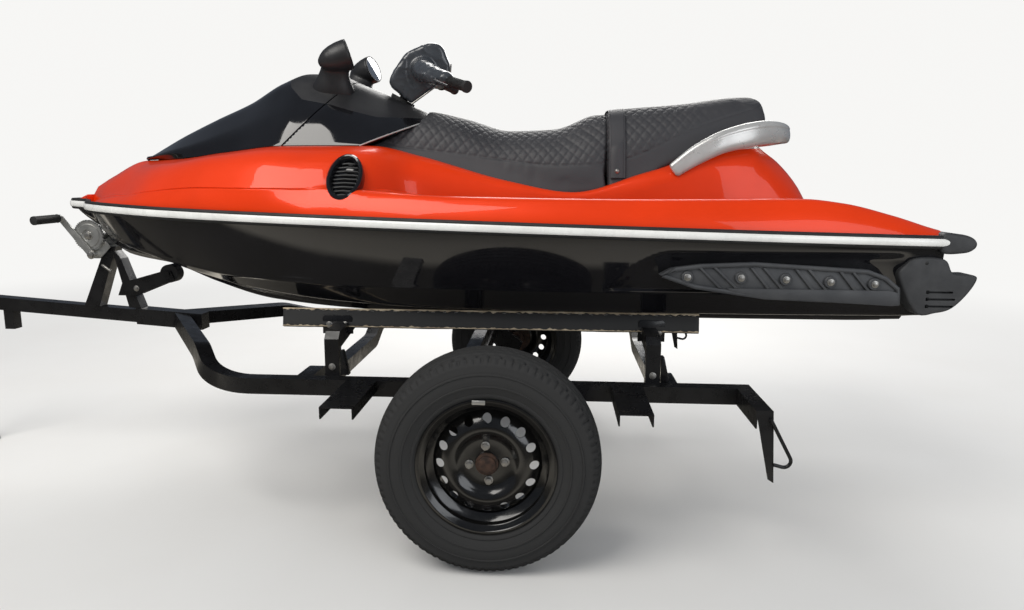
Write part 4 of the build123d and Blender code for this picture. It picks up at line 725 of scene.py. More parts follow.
def hull_mesh():
    """Closed hull with its strakes, chines and the sponson's recess; the jet's tunnel is cut from it."""
    rows = []
    first = HULL[0][0]
    shares = [0.010, 0.014, 0.020, 0.027, 0.034] + [mix(first, STERN, k / 150) for k in range(151)]
    for share in shares:
        x, half = place(share), hull_half(share)
        top_y, top_z = half[-1]
        inner = max(top_y - GUNWALE_WIDTH - 0.004, top_y * 0.3)
        floor = mix(top_z - 0.004, BASE_Z + WELL_FLOOR - 0.006, ease(WELL_START, WELL_START + 0.03, share))
        half = half + [(top_y - 0.004, top_z - 0.001), (inner + 0.002, top_z - 0.003), (inner, floor), (0.0, floor)]
        rows.append([Vector((x, y, z)) for y, z in half] + [Vector((x, -y, z)) for y, z in reversed(half[1:-1])])
    mesh = grid_mesh("hull", rows, ring=True, cap_start=True, cap_end=True)
    aft, low = place(STERN), BASE_Z + KEEL
    front, intake = aft - TUNNEL_LENGTH, BASE_Z + 0.225
    cutters = [
        box_mesh((front, -0.135, BASE_Z), (aft + 0.05, 0.135, BASE_Z + 0.296)),
        box_mesh((aft - 0.125, -0.1352, BASE_Z + 0.01), (aft + 0.06, 0.1352, BASE_Z + 0.341)),
        prism_mesh([(front - INTAKE_LENGTH, BASE_Z), (front + 0.002, BASE_Z), (front + 0.002, intake),
                    (front - 0.060, intake), (front - INTAKE_LENGTH, low + 0.004)], -0.085, 0.085),
    ]
    for cutter in cutters:
        tool = loose(cutter)
        mesh = modified(mesh, ("BOOLEAN", {"operation": "DIFFERENCE", "solver": "EXACT", "object": tool}))
        bpy.data.objects.remove(tool)
    return mesh


def saddle_at(share):
    """The saddle's (y, z) at its base, shoulder and top."""
    base, flank, shoulder_y, shoulder_z, top_y, top_z = (smooth(SADDLE, c, share) for c in range(1, 7))
    return (min(base * HALF_BEAM, beam_at(share) - 0.003), BASE_Z + flank - 0.06, shoulder_y * HALF_BEAM,
            BASE_Z + shoulder_z, top_y * HALF_BEAM, BASE_Z + top_z)


def deck_half(share):
    """Outline of the deck's starboard half from the rail to the centre line."""
    rail_y, low = beam_at(share), rail_z(place(share))
    if share < SADDLE[0][0]:
        t = (share - NOSE[0][0]) / (SADDLE[0][0] - NOSE[0][0])
        top = low + mix(0.010, 0.045, t)
        keys = [(rail_y, low), (rail_y * 0.93, top - 0.004)]
        keys += [(rail_y * part, top) for part in (0.8, 0.6, 0.5, 0.4, 0.2, 0.0)]
        return rounded(keys, (0.004,) * 6, 4, 1)
    gunwale = BASE_Z + smooth(GUNWALE, 1, share)
    inset = min(0.042, rail_y / 3)
    base, flank, shoulder_y, shoulder_z, top_y, top_z = saddle_at(share)
    floor = BASE_Z + WELL_FLOOR
    forward = ease(-0.030, 0.020, base - (rail_y - inset))
    well = ease(0.425, 0.475, share)
    gone = ease(0.872, 0.890, share)
    edge = (max(rail_y - inset, base * 0.995), mix(gunwale, flank + 0.004, forward))
    valley = mix(mix(gunwale + 0.001, edge[1] + 0.003, forward), floor, well)
    lean = min(max((valley - flank) / max(shoulder_z - flank, 0.001), 0.0), 1.0)
    foot_y = mix(base, shoulder_y, lean)
    shoulder_z, top_z = mix(shoulder_z, floor + 0.002, gone), mix(top_z, floor + 0.002, gone)
    inner = mix(min(foot_y + 0.012, edge[0] - 0.004), rail_y - GUNWALE_WIDTH, well)
    side = (mix(rail_y, edge[0], 0.35) + 0.004, mix(low, edge[1], 0.5))
    keys = [(rail_y, low), side, edge, (inner, mix(edge[1] + 0.001, gunwale - 0.002, well)),
            (inner - mix(0.002, 0.008, well), valley), (foot_y, valley + 0.0005), (shoulder_y, shoulder_z),
            (top_y, top_z), (0.0, top_z + 0.001)]
    soft = max(forward, 1 - ease(0.36, 0.47, share))
    radii = (0.05, mix(0.016, 0.040, soft), mix(0.020, 0.045, soft), mix(0.024, 0.060, soft),
             mix(0.030, 0.050, well), 0.060, 0.040)
    return rounded(keys, radii, 5, 2)


def grille_frame(side):
    """Centre of a side grille and its ways up and out."""
    low_y, low_z = beam_at(GRILLE_SHARE) - GRILLE_INSET, BASE_Z + smooth(GUNWALE, 1, GRILLE_SHARE) - GRILLE_DROP
    high_y, high_z = smooth(SADDLE, 3, GRILLE_SHARE) * HALF_BEAM, BASE_Z + smooth(SADDLE, 4, GRILLE_SHARE)
    up = Vector((0, side * (high_y - low_y), high_z - low_z)).normalized()
    out = Vector((0, side * up.z, -side * up.y))
    return Vector((place(GRILLE_SHARE), side * (low_y + high_y) / 2, (low_z + high_z) / 2)), up, out


def deck_mesh():
    """Deck moulding, open at the storage bin and behind the side grilles, with the stern's end faces."""
    rows = []
    first = SADDLE[0][0] + 0.0001
    shares = [0.010, 0.016, 0.024, 0.032] + [mix(first, STERN, k / 190) for k in range(191)]
    for share in shares:
        rows.append([Vector((place(share), p[0], p[1])) for p in reversed(deck_half(share))])
    count = max(len(row) for row in rows)
    for row in rows:
        while len(row) < count:
            row.insert(1, row[0].lerp(row[1], 0.5))
    mesh = face_up(grid_mesh("deck", [mirror_row(row) for row in rows]))
    bm = opened(mesh)
    for side in (-1, 1):
        centre, up, _ = grille_frame(side)
        for _ in range(2):
            near = {e for f in bm.faces if (f.calc_center_median() - centre).length < 0.14 for e in f.edges}
            bmesh.ops.subdivide_edges(bm, edges=list(near), cuts=1, use_grid_fill=True)
        inside = []
        for face in bm.faces:
            way = face.calc_center_median() - centre
            if abs(way.dot(up.cross(Vector((1, 0, 0))))) < 0.06 and math.hypot(
                    way.x / (GRILLE_HALF_WIDTH - 0.006), way.dot(up) / (GRILLE_HALF_HEIGHT - 0.006)) < 1:
                inside.append(face)
        bmesh.ops.delete(bm, geom=inside, context="FACES")
    hole = BIN_HALF - 0.002
    edges = ((place(BIN_FRONT), 0, 1), (place(BIN_REAR), 0, 1), (-hole, 1, 0), (hole, 1, 0))
    for level, along_y, along_x in edges:
        near = [f for f in bm.faces if f.calc_center_median().z > BASE_Z + 0.5 and abs(f.calc_center_median().y) < 0.16
                and place(0.15) < f.calc_center_median().x < place(0.32)]
        geom = near + list({e for f in near for e in f.edges}) + list({v for f in near for v in f.verts})
        bmesh.ops.bisect_plane(bm, geom=geom, plane_co=(level * along_x, level * along_y, 0),
                               plane_no=(along_x, along_y, 0))
    gone = []
    for face in bm.faces:
        spot = face.calc_center_median()
        if place(BIN_FRONT) < spot.x < place(BIN_REAR) and abs(spot.y) < hole and spot.z > BASE_Z + 0.5:
            gone.append(face)
    bmesh.ops.delete(bm, geom=gone, context="FACES")
    last = [p for p in deck_half(STERN) if p[0] > beam_at(STERN) - GUNWALE_WIDTH - 0.012]
    for side in (-1, 1):
        face = bm.faces.new([bm.verts.new((place(STERN) - 0.0004, side * p[0], p[1])) for p in last])
        face.normal_update()
        if face.normal.x < 0:
            face.normal_flip()
    return closed(bm, mesh)


def bin_liner_mesh():
    """Storage bin under the hood: an open box with a turned rim."""
    x0, x1, half = place(BIN_FRONT), place(BIN_REAR), BIN_HALF
    low = rail_z(x1) + 0.014
    steps = 12
    rows = []
    for grow, z in ((0.016, -0.002), (0.015, 0.004), (0.001, 0.004), (0.0, -0.004), (-0.004, -0.19)):
        ahead, aft, reach = x0 - grow, x1 + grow, half + grow
        ring = [(mix(ahead, aft, k / steps), -reach) for k in range(steps)]
        ring += [(mix(aft, ahead, k / steps), reach) for k in range(steps)]
        rows.append([Vector((x, y, max(BASE_Z + smooth(SADDLE, 6, share_at(x)) + z, low))) for x, y in ring])
    mesh = grid_mesh("bin", rows, ring=True, cap_end=True)
    return face_up(mesh)


# ---- hood, console, seat -------------------------------------------------------------------------

def crown_half(share):
    """Outline of hood or console: from its lower edge up to the centre line."""
    side_y, crown_y = (smooth(CROWN, c, share) * HALF_BEAM for c in (1, 2))
    rise, crown_z = smooth(CROWN, 3, share), BASE_Z + smooth(CROWN, 4, share)
    seat_y, seat = smooth(SADDLE, 5, share) * HALF_BEAM, BASE_Z + smooth(SADDLE, 6, share)
    keys = [(max(seat_y - 0.008, 0.004), seat + 0.0005), (max(side_y, 0.003), seat + max(rise, 0.002)),
            (max(crown_y, 0.002), crown_z), (0.0, crown_z + 0.002)]
    return rounded(keys, (0.085, 0.075), 8, 4)


# share, z where the silver begins under the back of the seat
SILVER_EDGE = ((0.7208, 637), (0.7361, 647), (0.7649, 666), (0.7856, 679), (0.8096, 684), (0.8800, 688))
# share, z where the matt cowl over the covers begins
COWL_EDGE = ((0.288, 960), (0.300, 890), (0.318, 842), (0.350, 824), (0.376, 801), (0.401, 783), (0.470, 786))


def sliced(mesh, *cuts):
    """Mesh less what lies beyond planes, each (point, way)."""
    bm = opened(mesh)
    for point, way in cuts:
        bmesh.ops.bisect_plane(bm, geom=bm.verts[:] + bm.edges[:] + bm.faces[:], plane_co=point, plane_no=way,
                               clear_outer=True)
    return closed(bm, mesh)


def crown_sheet(count=130):
    """Skin of hood and console as one."""
    rows = []
    for k in range(count):
        share = mix(HOOD_START, CONSOLE_END, k / (count - 1))
        rows.append(mirror_row([Vector((place(share), p[0], p[1])) for p in reversed(crown_half(share))]))
    return face_up(grid_mesh("crown", rows))


def two_toned(mesh, edge):
    """Marks the faces over a line of (share, z), cut cleanly along it, with the second material."""
    bm = opened(mesh)
    for (s0, z0), (s1, z1) in zip(edge, edge[1:]):
        near = [f for f in bm.faces if place(s0) - 0.012 < f.calc_center_median().x < place(s1) + 0.012]
        geom = near + list({e for f in near for e in f.edges}) + list({v for f in near for v in f.verts})
        way = Vector((-(z1 - z0) / 1000, 0, place(s1) - place(s0)))
        bmesh.ops.bisect_plane(bm, geom=geom, plane_co=(place(s0), 0, BASE_Z + z0 / 1000), plane_no=way)
    for face in bm.faces:
        spot = face.calc_center_median()
        share = share_at(spot.x)
        for (s0, z0), (s1, z1) in zip(edge, edge[1:]):
            if s0 <= share < s1 and spot.z > BASE_Z + mix(z0, z1, (share - s0) / (s1 - s0)) / 1000:
                face.material_index = 1
    return closed(bm, mesh)


def cover_mesh(*cuts):
    """Hood or console: the part of the skin inside the cuts, with thickness."""
    mesh = sliced(crown_sheet(), *cuts)
    mesh.materials.append(made_of("hood_black"))
    mesh.materials.append(made_of("cap_black"))
    mesh = two_toned(mesh, COWL_EDGE)
    return modified(mesh, ("SOLIDIFY", {"thickness": 0.010, "offset": -1.0}),
                    ("BEVEL", {"width": 0.0022, "segments": 2, "limit_method": "ANGLE", "angle_limit": 1.0}))


def crown_y_at(share, z):
    """Half width of the covers at a place and height."""
    half = crown_half(share)
    for p, q in zip(half, half[1:]):
        if min(p[1], q[1]) <= z <= max(p[1], q[1]) and q[1] != p[1]:
            return mix(p[0], q[0], (z - p[1]) / (q[1] - p[1]))
    return half[0][0]


def bulkhead_mesh():
    """Panel that closes the console behind the hood's split."""
    rows = []
    for k in range(14):
        z = BASE_Z + mix(HOOD_END_Z - 0.012, 0.900, k / 13)
        x = place(HOOD_END) + HOOD_LEAN * (z - BASE_Z - HOOD_END_Z) + 0.020
        reach = max(crown_y_at(share_at(x), z) - 0.012, 0.02)
        rows.append([Vector((x, reach * t / 4, z)) for t in range(-4, 5)])
    return modified(grid_mesh("bulkhead", rows), ("SOLIDIFY", {"thickness": 0.004, "offset": 0.0}))


def seam_mesh():
    """Bright edging strip along the slanted joint in front of the seat."""
    strips = []
    for side in (-1, 1):
        path = []
        for k in range(24):
            z = BASE_Z + mix(0.684, 0.785, k / 23)
            x = joint_x(z) - 0.002
            path.append(Vector((x, side * (crown_y_at(share_at(x), z) + 0.0012), z)))
        strips.append(sweep_mesh(path, circle(0.0024, 8)))
    return joined("seam", strips)


def seat_low(share):
    """Height of the cushions' underside."""
    return BASE_Z + smooth(SEAT, 5, share)


def seat_half(share, shrink=0.0):
    """Outline of the seat from its underside's edge to the centre of its top."""
    under, waist, top_y = (smooth(SEAT, c, share) * HALF_BEAM - shrink for c in (1, 2, 3))
    top = BASE_Z + smooth(SEAT, 4, share) - shrink
    low = seat_low(share)
    keys = [(0.0, low + shrink), (under, low + shrink), (waist, mix(low, top, 0.62)), (top_y, top - 0.006),
            (0.0, top + 0.002)]
    return rounded(keys, (0.014, 0.090, 0.055), 6, 3)


def seat_rows(first, last, count, shrink=0.0):
    """Rings of the cushions between two shares."""
    rows = []
    for k in range(count):
        share = mix(first, last, k / (count - 1))
        half = seat_half(share, shrink)
        x = place(share)
        rows.append([Vector((x, p[0], p[1])) for p in half]
                    + [Vector((x, -p[0], p[1])) for p in reversed(half[1:-1])])
    return rows


def quilt(bm, edges):
    """Sinks a diamond of sewn channels into the part of the cushion over its quilting's edge."""
    size = bpy.context.scene.wc_sizes
    pitch, sunk = size.quilt_pitch, size.quilt_depth
    bm.normal_update()
    moves = []
    for v in bm.verts:
        share = share_at(v.co.x)
        top = BASE_Z + smooth(SEAT, 4, share)
        over = v.co.z - BASE_Z - smooth(edges, 1, share)
        if over < -0.006 or v.normal.z < -0.2 or v.normal.x > 0.8:
            continue
        around = math.copysign(math.hypot(v.co.y, top - v.co.z), v.co.y)
        a, b = (v.co.x + around) / pitch, (v.co.x - around) / pitch
        near = min(abs(a - round(a)), abs(b - round(b))) * pitch * 0.70
        depth = sunk * math.exp(-(near / 0.0024) ** 2)
        puff = 0.0007 * (1 - math.exp(-(near / 0.007) ** 2))
        rim = sunk * 1.2 * math.exp(-(over / 0.003) ** 2)
        fade = ease(-0.002, 0.006, over) * (1 - 0.8 * ease(0.715, 0.765, share))
        moves.append((v, v.normal * ((puff - depth) * fade - rim)))
    for v, shift in moves:
        v.co += shift


def puffed(mesh, cap):
    """Cushion swollen by a short cloth run, capped and then applied."""
    base = modified(mesh, ("REMESH", {"mode": "VOXEL", "voxel_size": 0.0085}))
    obj = loose(base)
    rest = [v.co.copy() for v in base.vertices]
    cloth = obj.modifiers.new("Cloth", "CLOTH")
    cloth.settings.use_pressure = True
    cloth.settings.uniform_pressure_force = 4.0
    cloth.settings.effector_weights.gravity = 0.0
    cloth.settings.quality = 5
    scene = bpy.context.scene
    for number in range(1, 21):
        scene.frame_set(number)
    graph = bpy.context.evaluated_depsgraph_get()
    out = bpy.data.meshes.new_from_object(obj.evaluated_get(graph))
    scene.frame_set(1)
    bpy.data.objects.remove(obj)
    for v, home in zip(out.vertices, rest):
        shift = v.co - home
        level = ease(0.0, 0.05, home.z - seat_low(share_at(home.x)) - 0.008)
        reach = cap * level
        if shift.length > reach:
            shift = shift.normalized() * reach
        v.co = home + shift
    return modified(out, ("SUBSURF", {"levels": 1, "subdivision_type": "CATMULL_CLARK"}))


def joint_x(z):
    """Place of the slanted joint between console and seat at a height."""
    rows = [(BASE_Z + high / 1000, place(share)) for share, high in SEAT_JOINT]
    for (z0, x0), (z1, x1) in zip(rows, rows[1:]):
        if z <= z1:
            return mix(x0, x1, max(z - z0, 0.0) / (z1 - z0))
    return rows[-1][1]


def cushion(first, last, count, slanted):
    """Swollen cushion between two shares, its front cut to the slanted joint."""
    rows = seat_rows(first, last, count, 0.004)
    if slanted:
        for row in rows:
            for p in row:
                p.x = max(p.x, joint_x(p.z) + 0.006)
    mesh = grid_mesh("cushion", rows, ring=True, cap_start=True, cap_end=True)
    return puffed(mesh, 0.007)


STRAP_MIDDLE, STRAP_FOOT = 0.6604, 0.585


def strap_mesh():
    """Strap over the joint of the two cushions, with sewn edges and its studs."""
    rows = []
    for k, lift in ((-27, 0.0010), (-26.4, 0.0034), (-22, 0.0040), (-21.4, 0.0033), (-20.8, 0.0040), (0, 0.0044),
                    (20.8, 0.0040), (21.4, 0.0033), (22, 0.0040), (26.4, 0.0034), (27, 0.0010)):
        share = STRAP_MIDDLE + k / 1000 / CRAFT_LENGTH
        half = [p for p in seat_half(share, -lift) if p[0] > 0.05 or p[1] > BASE_Z + 0.7][6:]
        rows.append(mirror_row([Vector((place(share), p[0], p[1])) for p in reversed(half)]))
    band = modified(face_up(grid_mesh("band", rows)), ("SOLIDIFY", {"thickness": 0.004, "offset": -1.0}))
    low = BASE_Z + STRAP_FOOT
    band = sliced(band, (Vector((0, 0, low)), Vector((0, 0, -1))))
    band.materials.append(made_of("seat_vinyl"))
    studs = []
    for side in (-1, 1):
        spot = min((p for row in rows[5:6] for p in row if p.y * side > 0), key=lambda p: abs(p.z - low - 0.016))
        stud = turned_mesh([(0, 0.006), (0.004, 0.0055), (0.0075, 0.003), (0.009, 0)],
                           spot - Vector((0, side * 0.001, 0)), (0, side, -0.15), 20)
        stud.materials.append(made_of("bright_steel"))
        studs.append(stud)
    return joined("strap", [band] + studs)


# ---- bars, mirrors, trim -------------------------------------------------------------------------

def steered(mesh):
    """Mesh turned about the steering axis, as the bar stands."""
    lean = math.radians(STEER_LEAN)
    foot, axis = Vector((STEER_X, 0, STEER_Z)), Vector((math.sin(lean), 0, math.cos(lean)))
    mesh.transform(Matrix.Translation(foot) @ Matrix.Rotation(math.radians(STEER_TURN), 4, axis)
                   @ Matrix.Translation(-foot))
    return mesh


def creased(mesh, amount, scale):
    """Skin drawn into sharp folds, as film shrunk round a block."""
    mesh = mesh.copy()
    normals = [v.normal.copy() for v in mesh.vertices]
    for v, way in zip(mesh.vertices, normals):
        p = v.co * scale
        p.x += 0.8 * noise.noise(v.co * scale * 0.6 + Vector((3, 1, 7)))
        fold = 1 - abs(noise.noise(p)) * 2.2
        fine = 1 - abs(noise.noise(p * 2.3 + Vector((9, 4, 2)))) * 2.2
        v.co += way * amount * (max(fold, 0) ** 3 + 0.5 * max(fine, 0) ** 3 - 0.5)
    return mesh


# x, z of the pad's side outline before it is turned; x, y, z of the bar's starboard half
PAD = ((0.094, 1.450), (0.160, 1.542), (0.246, 1.575), (0.285, 1.566), (0.314, 1.500), (0.311, 1.460),
       (0.172, 1.362), (0.096, 1.425))
BAR = ((0.346, 0.366, 1.420), (0.290, 0.262, 1.440), (0.205, 0.115, 1.474))


def pad_mesh():
    """Pad block and the inner ends of the bar, all wrapped in creased film."""
    block = prism_mesh(PAD, -0.073, 0.073, radius=0.014, steps=3)
    wraps = []
    for side in (-1, 1):
        line = curve_points([(0.214, side * 0.060, 1.484), (0.222, side * 0.150, 1.470), (0.262, side * 0.225, 1.452),
                             (0.300, side * 0.280, 1.440)], 24)
        rows = []
        for k, spot in enumerate(line):
            way = (line[min(k + 1, 23)] - line[max(k - 1, 0)]).normalized()
            across = way.cross(Vector((0, 0, 1))).normalized()
            lift = across.cross(way)
            reach = mix(0.044, 0.027, k / 23) * (1 - 0.35 * ease(0.92, 1.0, k / 23))
            rows.append([spot + across * (a * reach) + lift * (b * reach) for a, b in circle(1.0, 24, 0.92)])
        wraps.append(grid_mesh("wrap", rows, ring=True, cap_start=True, cap_end=True))
    block = joined("block", [block] + wraps)
    block = modified(block, ("REMESH", {"mode": "VOXEL", "voxel_size": 0.004}))
    block = creased(block, 0.0026, 12)
    block = modified(block, ("SMOOTH", {"factor": 0.5, "iterations": 3}))
    edge = sweep_mesh([Vector((x, -0.0745, z)) for x, z in PAD[4:7]], circle(0.003, 8))
    return steered(joined("pad", [painted(block, "pad_film"), painted(edge, "bright_steel")]))


def grip_mesh(side):
    """Ribbed rubber grip with its flange."""
    end, before = (Vector((x, side * y, z)) for x, y, z in BAR[:2])
    way = (end - before).normalized()
    profile = [(0.0112, 0.0), (0.0235, 0.0005), (0.0245, 0.003), (0.0235, 0.0055), (0.0175, 0.008)]
    for k in range(30):
        along = 0.010 + k * 0.0034
        profile += [(0.0168, along), (0.0172, along + 0.0008), (0.0172, along + 0.0018), (0.0160, along + 0.0024)]
    profile += [(0.0175, 0.113), (0.0195, 0.115), (0.0195, 0.122), (0.0165, 0.125), (0.0, 0.125)]
    return painted(steered(turned_mesh(profile, end - way * 0.113, way, 32)), "rubber")


def lever_mesh(side):
    """Lever ahead of the grip with its clamp on the bar."""
    path = curve_points([(0.284, 0.248, 1.440), (0.256, 0.262, 1.444), (0.252, 0.300, 1.438), (0.272, 0.340, 1.428),
                         (0.290, 0.366, 1.420)], 22)
    path = [Vector((p.x, side * p.y, p.z)) for p in path]
    arm = sweep_mesh(path, circle(0.0065, 12, 0.6))
    end, before = (Vector((x, side * y, z)) for x, y, z in BAR[:2])
    way = (end - before).normalized()
    clamp = turned_mesh([(0.0112, 0), (0.019, 0.001), (0.020, 0.004), (0.020, 0.022), (0.019, 0.025), (0.0112, 0.026)],
                        before - way * 0.030, way, 28)
    return steered(joined("lever", [painted(arm, "cap_black"), painted(clamp, "cap_black")]))


MIRROR_X, MIRROR_Y, MIRROR_Z, MIRROR_LENGTH = -0.1115, 0.188, 1.494, 0.108
MIRROR_FOOT = (-0.0850, 0.112, 1.362)


def mirror_lean(side):
    """Turn that tips a mirror's face up and a little inwards."""
    middle = Vector((MIRROR_X + 0.060, side * MIRROR_Y, MIRROR_Z))
    return (Matrix.Translation(middle) @ Matrix.Rotation(math.radians(-19), 4, "Y")
            @ Matrix.Rotation(math.radians(-side * 15), 4, "Z") @ Matrix.Translation(-middle))


def mirror_mesh(side):
    """Teardrop pod that grows out of the cowl on a thick stalk."""
    profile = [(0.0, 0.0), (0.012, 0.003), (0.025, 0.015), (0.036, 0.030), (0.044, 0.050), (0.0495, 0.075),
               (0.0515, 0.098), (0.052, 0.108), (0.0, 0.108)]
    bowl = turned_mesh(profile, (MIRROR_X, side * MIRROR_Y, MIRROR_Z), (1, 0, 0), 48)
    foot = Vector((MIRROR_FOOT[0], side * MIRROR_FOOT[1], MIRROR_FOOT[2]))
    head = Vector((MIRROR_X + 0.062, side * MIRROR_Y, MIRROR_Z))
    rows = []
    for k in range(14):
        t = k / 13
        spot = foot.lerp(head, t)
        wide, deep = mix(0.088, 0.047, ease(0, 0.8, t)), mix(0.064, 0.032, ease(0, 0.8, t))
        rows.append([spot + Vector((math.cos(a) * wide, 0, -math.cos(a) * 0.010)) + Vector((0, math.sin(a) * deep, 0))
                     for a in (2 * math.pi * i / 28 for i in range(28))])
    stalk = grid_mesh("stalk", rows, ring=True, cap_start=True, cap_end=True)
    bowl.transform(mirror_lean(side))
    pod = modified(joined("pod", [bowl, stalk]), ("REMESH", {"mode": "VOXEL", "voxel_size": 0.0032}),
                   ("SMOOTH", {"factor": 0.5, "iterations": 14}))
    return painted(pod, "cap_black")


def glass_mesh(side):
    """Mirror glass in its bright rim, seen from aft."""
    centre = (MIRROR_X + MIRROR_LENGTH, side * MIRROR_Y, MIRROR_Z)
    rim = turned_mesh([(0.0455, -0.004), (0.0500, -0.002), (0.0510, 0.0005), (0.0500, 0.0025), (0.0465, 0.0028),
                       (0.0455, 0.0012)], centre, (1, 0, 0), 64)
    glass = turned_mesh([(0.0, 0.0024), (0.02, 0.0023), (0.040, 0.0019), (0.0462, 0.0014)], centre, (1, 0, 0), 48)
    out = joined("glass", [painted(rim, "cap_black"), painted(glass, "mirror_glass")])
    out.transform(mirror_lean(side))
    return out


def edge_path(first=0.010, count=170):
    """Points and outward ways along the joint of hull and deck, stern port to stern starboard."""
    half = []
    for k in range(count):
        t = k / (count - 1)
        share = mix(first, STERN, t ** 1.25)
        half.append(Vector((place(share), beam_at(share), 0)))
    line = [Vector((p.x, -p.y, 0)) for p in reversed(half)] + half
    out = []
    for i, p in enumerate(line):
        way = (line[min(i + 1, len(line) - 1)] - line[max(i - 1, 0)]).normalized()
        out.append((Vector((p.x, p.y, rail_z(p.x))), Vector((-way.y, way.x, 0)) * -1))
    middle = out[len(out) // 2][1]
    if middle.x > 0:
        out = [(p, -n) for p, n in out]
    return out


def rail_mesh(section):
    """Moulding along the edge with a section of (out, up)."""
    rows = [[p + n * a + Vector((0, 0, b)) for a, b in section] for p, n in edge_path()]
    return grid_mesh("rail", rows, ring=True, cap_start=True, cap_end=True)


RUBBER_SECTION = ((-0.004, -0.018), (0.003, -0.0205), (0.009, -0.0200), (0.0125, -0.017), (0.0140, -0.0135),
                  (0.0140, -0.0122), (0.0128, -0.0115), (0.0128, 0.0115), (0.0140, 0.0122), (0.0140, 0.0135),
                  (0.0125, 0.017), (0.009, 0.0200), (0.003, 0.0205), (-0.004, 0.018))
STRIP_SECTION = ((0.012, -0.0108), (0.0150, -0.0108), (0.0175, -0.0085), (0.0188, -0.0040), (0.0190, 0.0),
                 (0.0188, 0.0040), (0.0175, 0.0085), (0.0150, 0.0108), (0.012, 0.0108))


def grille_mesh(side):
    """Round grille: glossy ring, funnel and slats."""
    centre, up, out = grille_frame(1)
    ahead = Vector((1, 0, 0))

    def ring(grow, depth, count=72):
        return [centre + ahead * (GRILLE_HALF_WIDTH + grow) * math.cos(a)
                + up * (GRILLE_HALF_HEIGHT + grow) * math.sin(a) + out * depth
                for a in (2 * math.pi * k / count for k in range(count))]

    rows = [ring(g, d) for g, d in ((0.002, -0.020), (0.003, 0.004), (0.001, 0.010), (-0.004, 0.0135), (-0.009, 0.013),
                                    (-0.013, 0.008), (-0.015, 0.0), (-0.017, -0.012), (-0.030, -0.018),
                                    (-0.052, -0.019))]
    body = painted(grid_mesh("grille", rows, ring=True, cap_end=True), "hood_black")
    pieces = [body]
    for k in range(9):
        level = (k - 4) * 0.0155
        reach = (GRILLE_HALF_WIDTH - 0.014) * math.sqrt(max(1 - (level / (GRILLE_HALF_HEIGHT - 0.012)) ** 2, 0.02))
        start, end = centre + up * level - ahead * reach, centre + up * level + ahead * reach
        bar = sweep_mesh([start - out * 0.008, centre + up * level - out * 0.004, end - out * 0.008],
                         circle(0.0035, 8), up=up)
        pieces.append(painted(bar, "cap_black"))
    mesh = joined("grille", pieces)
    return mesh if side > 0 else transformed(mesh, FLIP_Y)


# share, y, z over the base line, half height, half thickness of the grab handle
HANDLE = ((0.716, 0.300, 606, 0.024, 0.009), (0.740, 0.299, 658, 0.032, 0.011), (0.765, 0.296, 698, 0.036, 0.013),
          (0.790, 0.282, 720, 0.040, 0.014), (0.812, 0.255, 732, 0.040, 0.015), (0.832, 0.205, 736, 0.035, 0.016),
          (0.846, 0.120, 736, 0.032, 0.016), (0.850, 0.040, 737, 0.031, 0.016))


def handle_mesh():
    """Silver wing round the back of the seat, sculpted with a shelf along its upper edge."""
    half = [Vector((place(s), y, BASE_Z + z / 1000)) for s, y, z, _, _ in HANDLE]
    whole = half + [Vector((p.x, -p.y, p.z)) for p in reversed(half)]
    sizes = [(h, t) for _, _, _, h, t in HANDLE]
    sizes = sizes + sizes[::-1]
    count = 110
    path = curve_points(whole, count)
    rows = []
    for i, p in enumerate(path):
        along = i / (count - 1) * (len(sizes) - 1)
        k = min(int(along), len(sizes) - 2)
        h, t = (mix(sizes[k][c], sizes[k + 1][c], along - k) for c in (0, 1))
        way = (path[min(i + 1, count - 1)] - path[max(i - 1, 0)]).normalized()
        across = Vector((way.y, -way.x, 0)).normalized() * -1
        lift = across.cross(way).normalized()
        if lift.z < 0:
            lift = -lift
        outwards = across.dot(Vector((0.4, p.y, 0))) > 0 or (abs(p.y) < 0.08 and across.x > 0)
        outward = across if outwards else -across
        section = [(-0.9, 1.0), (-0.2, 1.0), (0.45, 0.90), (0.80, 0.66), (0.86, 0.50), (0.78, 0.44), (0.80, 0.36),
                   (0.98, 0.10), (1.0, -0.45), (0.75, -0.86), (0.1, -1.0), (-0.7, -0.95), (-1.0, -0.6), (-1.0, 0.6)]
        rows.append([p + outward * (a * t) + lift * (b * h) for a, b in section])
    mesh = grid_mesh("handle", rows, ring=True, cap_start=True, cap_end=True)
    return modified(mesh, ("SUBSURF", {"levels": 1, "subdivision_type": "CATMULL_CLARK"}))


SPONSON_BOLTS = ((0.7198, 299), (0.7693, 299), (0.8105, 296), (0.8511, 290), (0.8911, 286))
SPONSON_RAIL = ((0.7565, 268), (0.905, 268), (0.9125, 262), (0.9145, 246), (0.9130, 228), (0.9090, 222), (0.795, 240),
                (0.7600, 258))
SPONSON_FACE, SPONSON_RELIEF = 0.596, 0.009


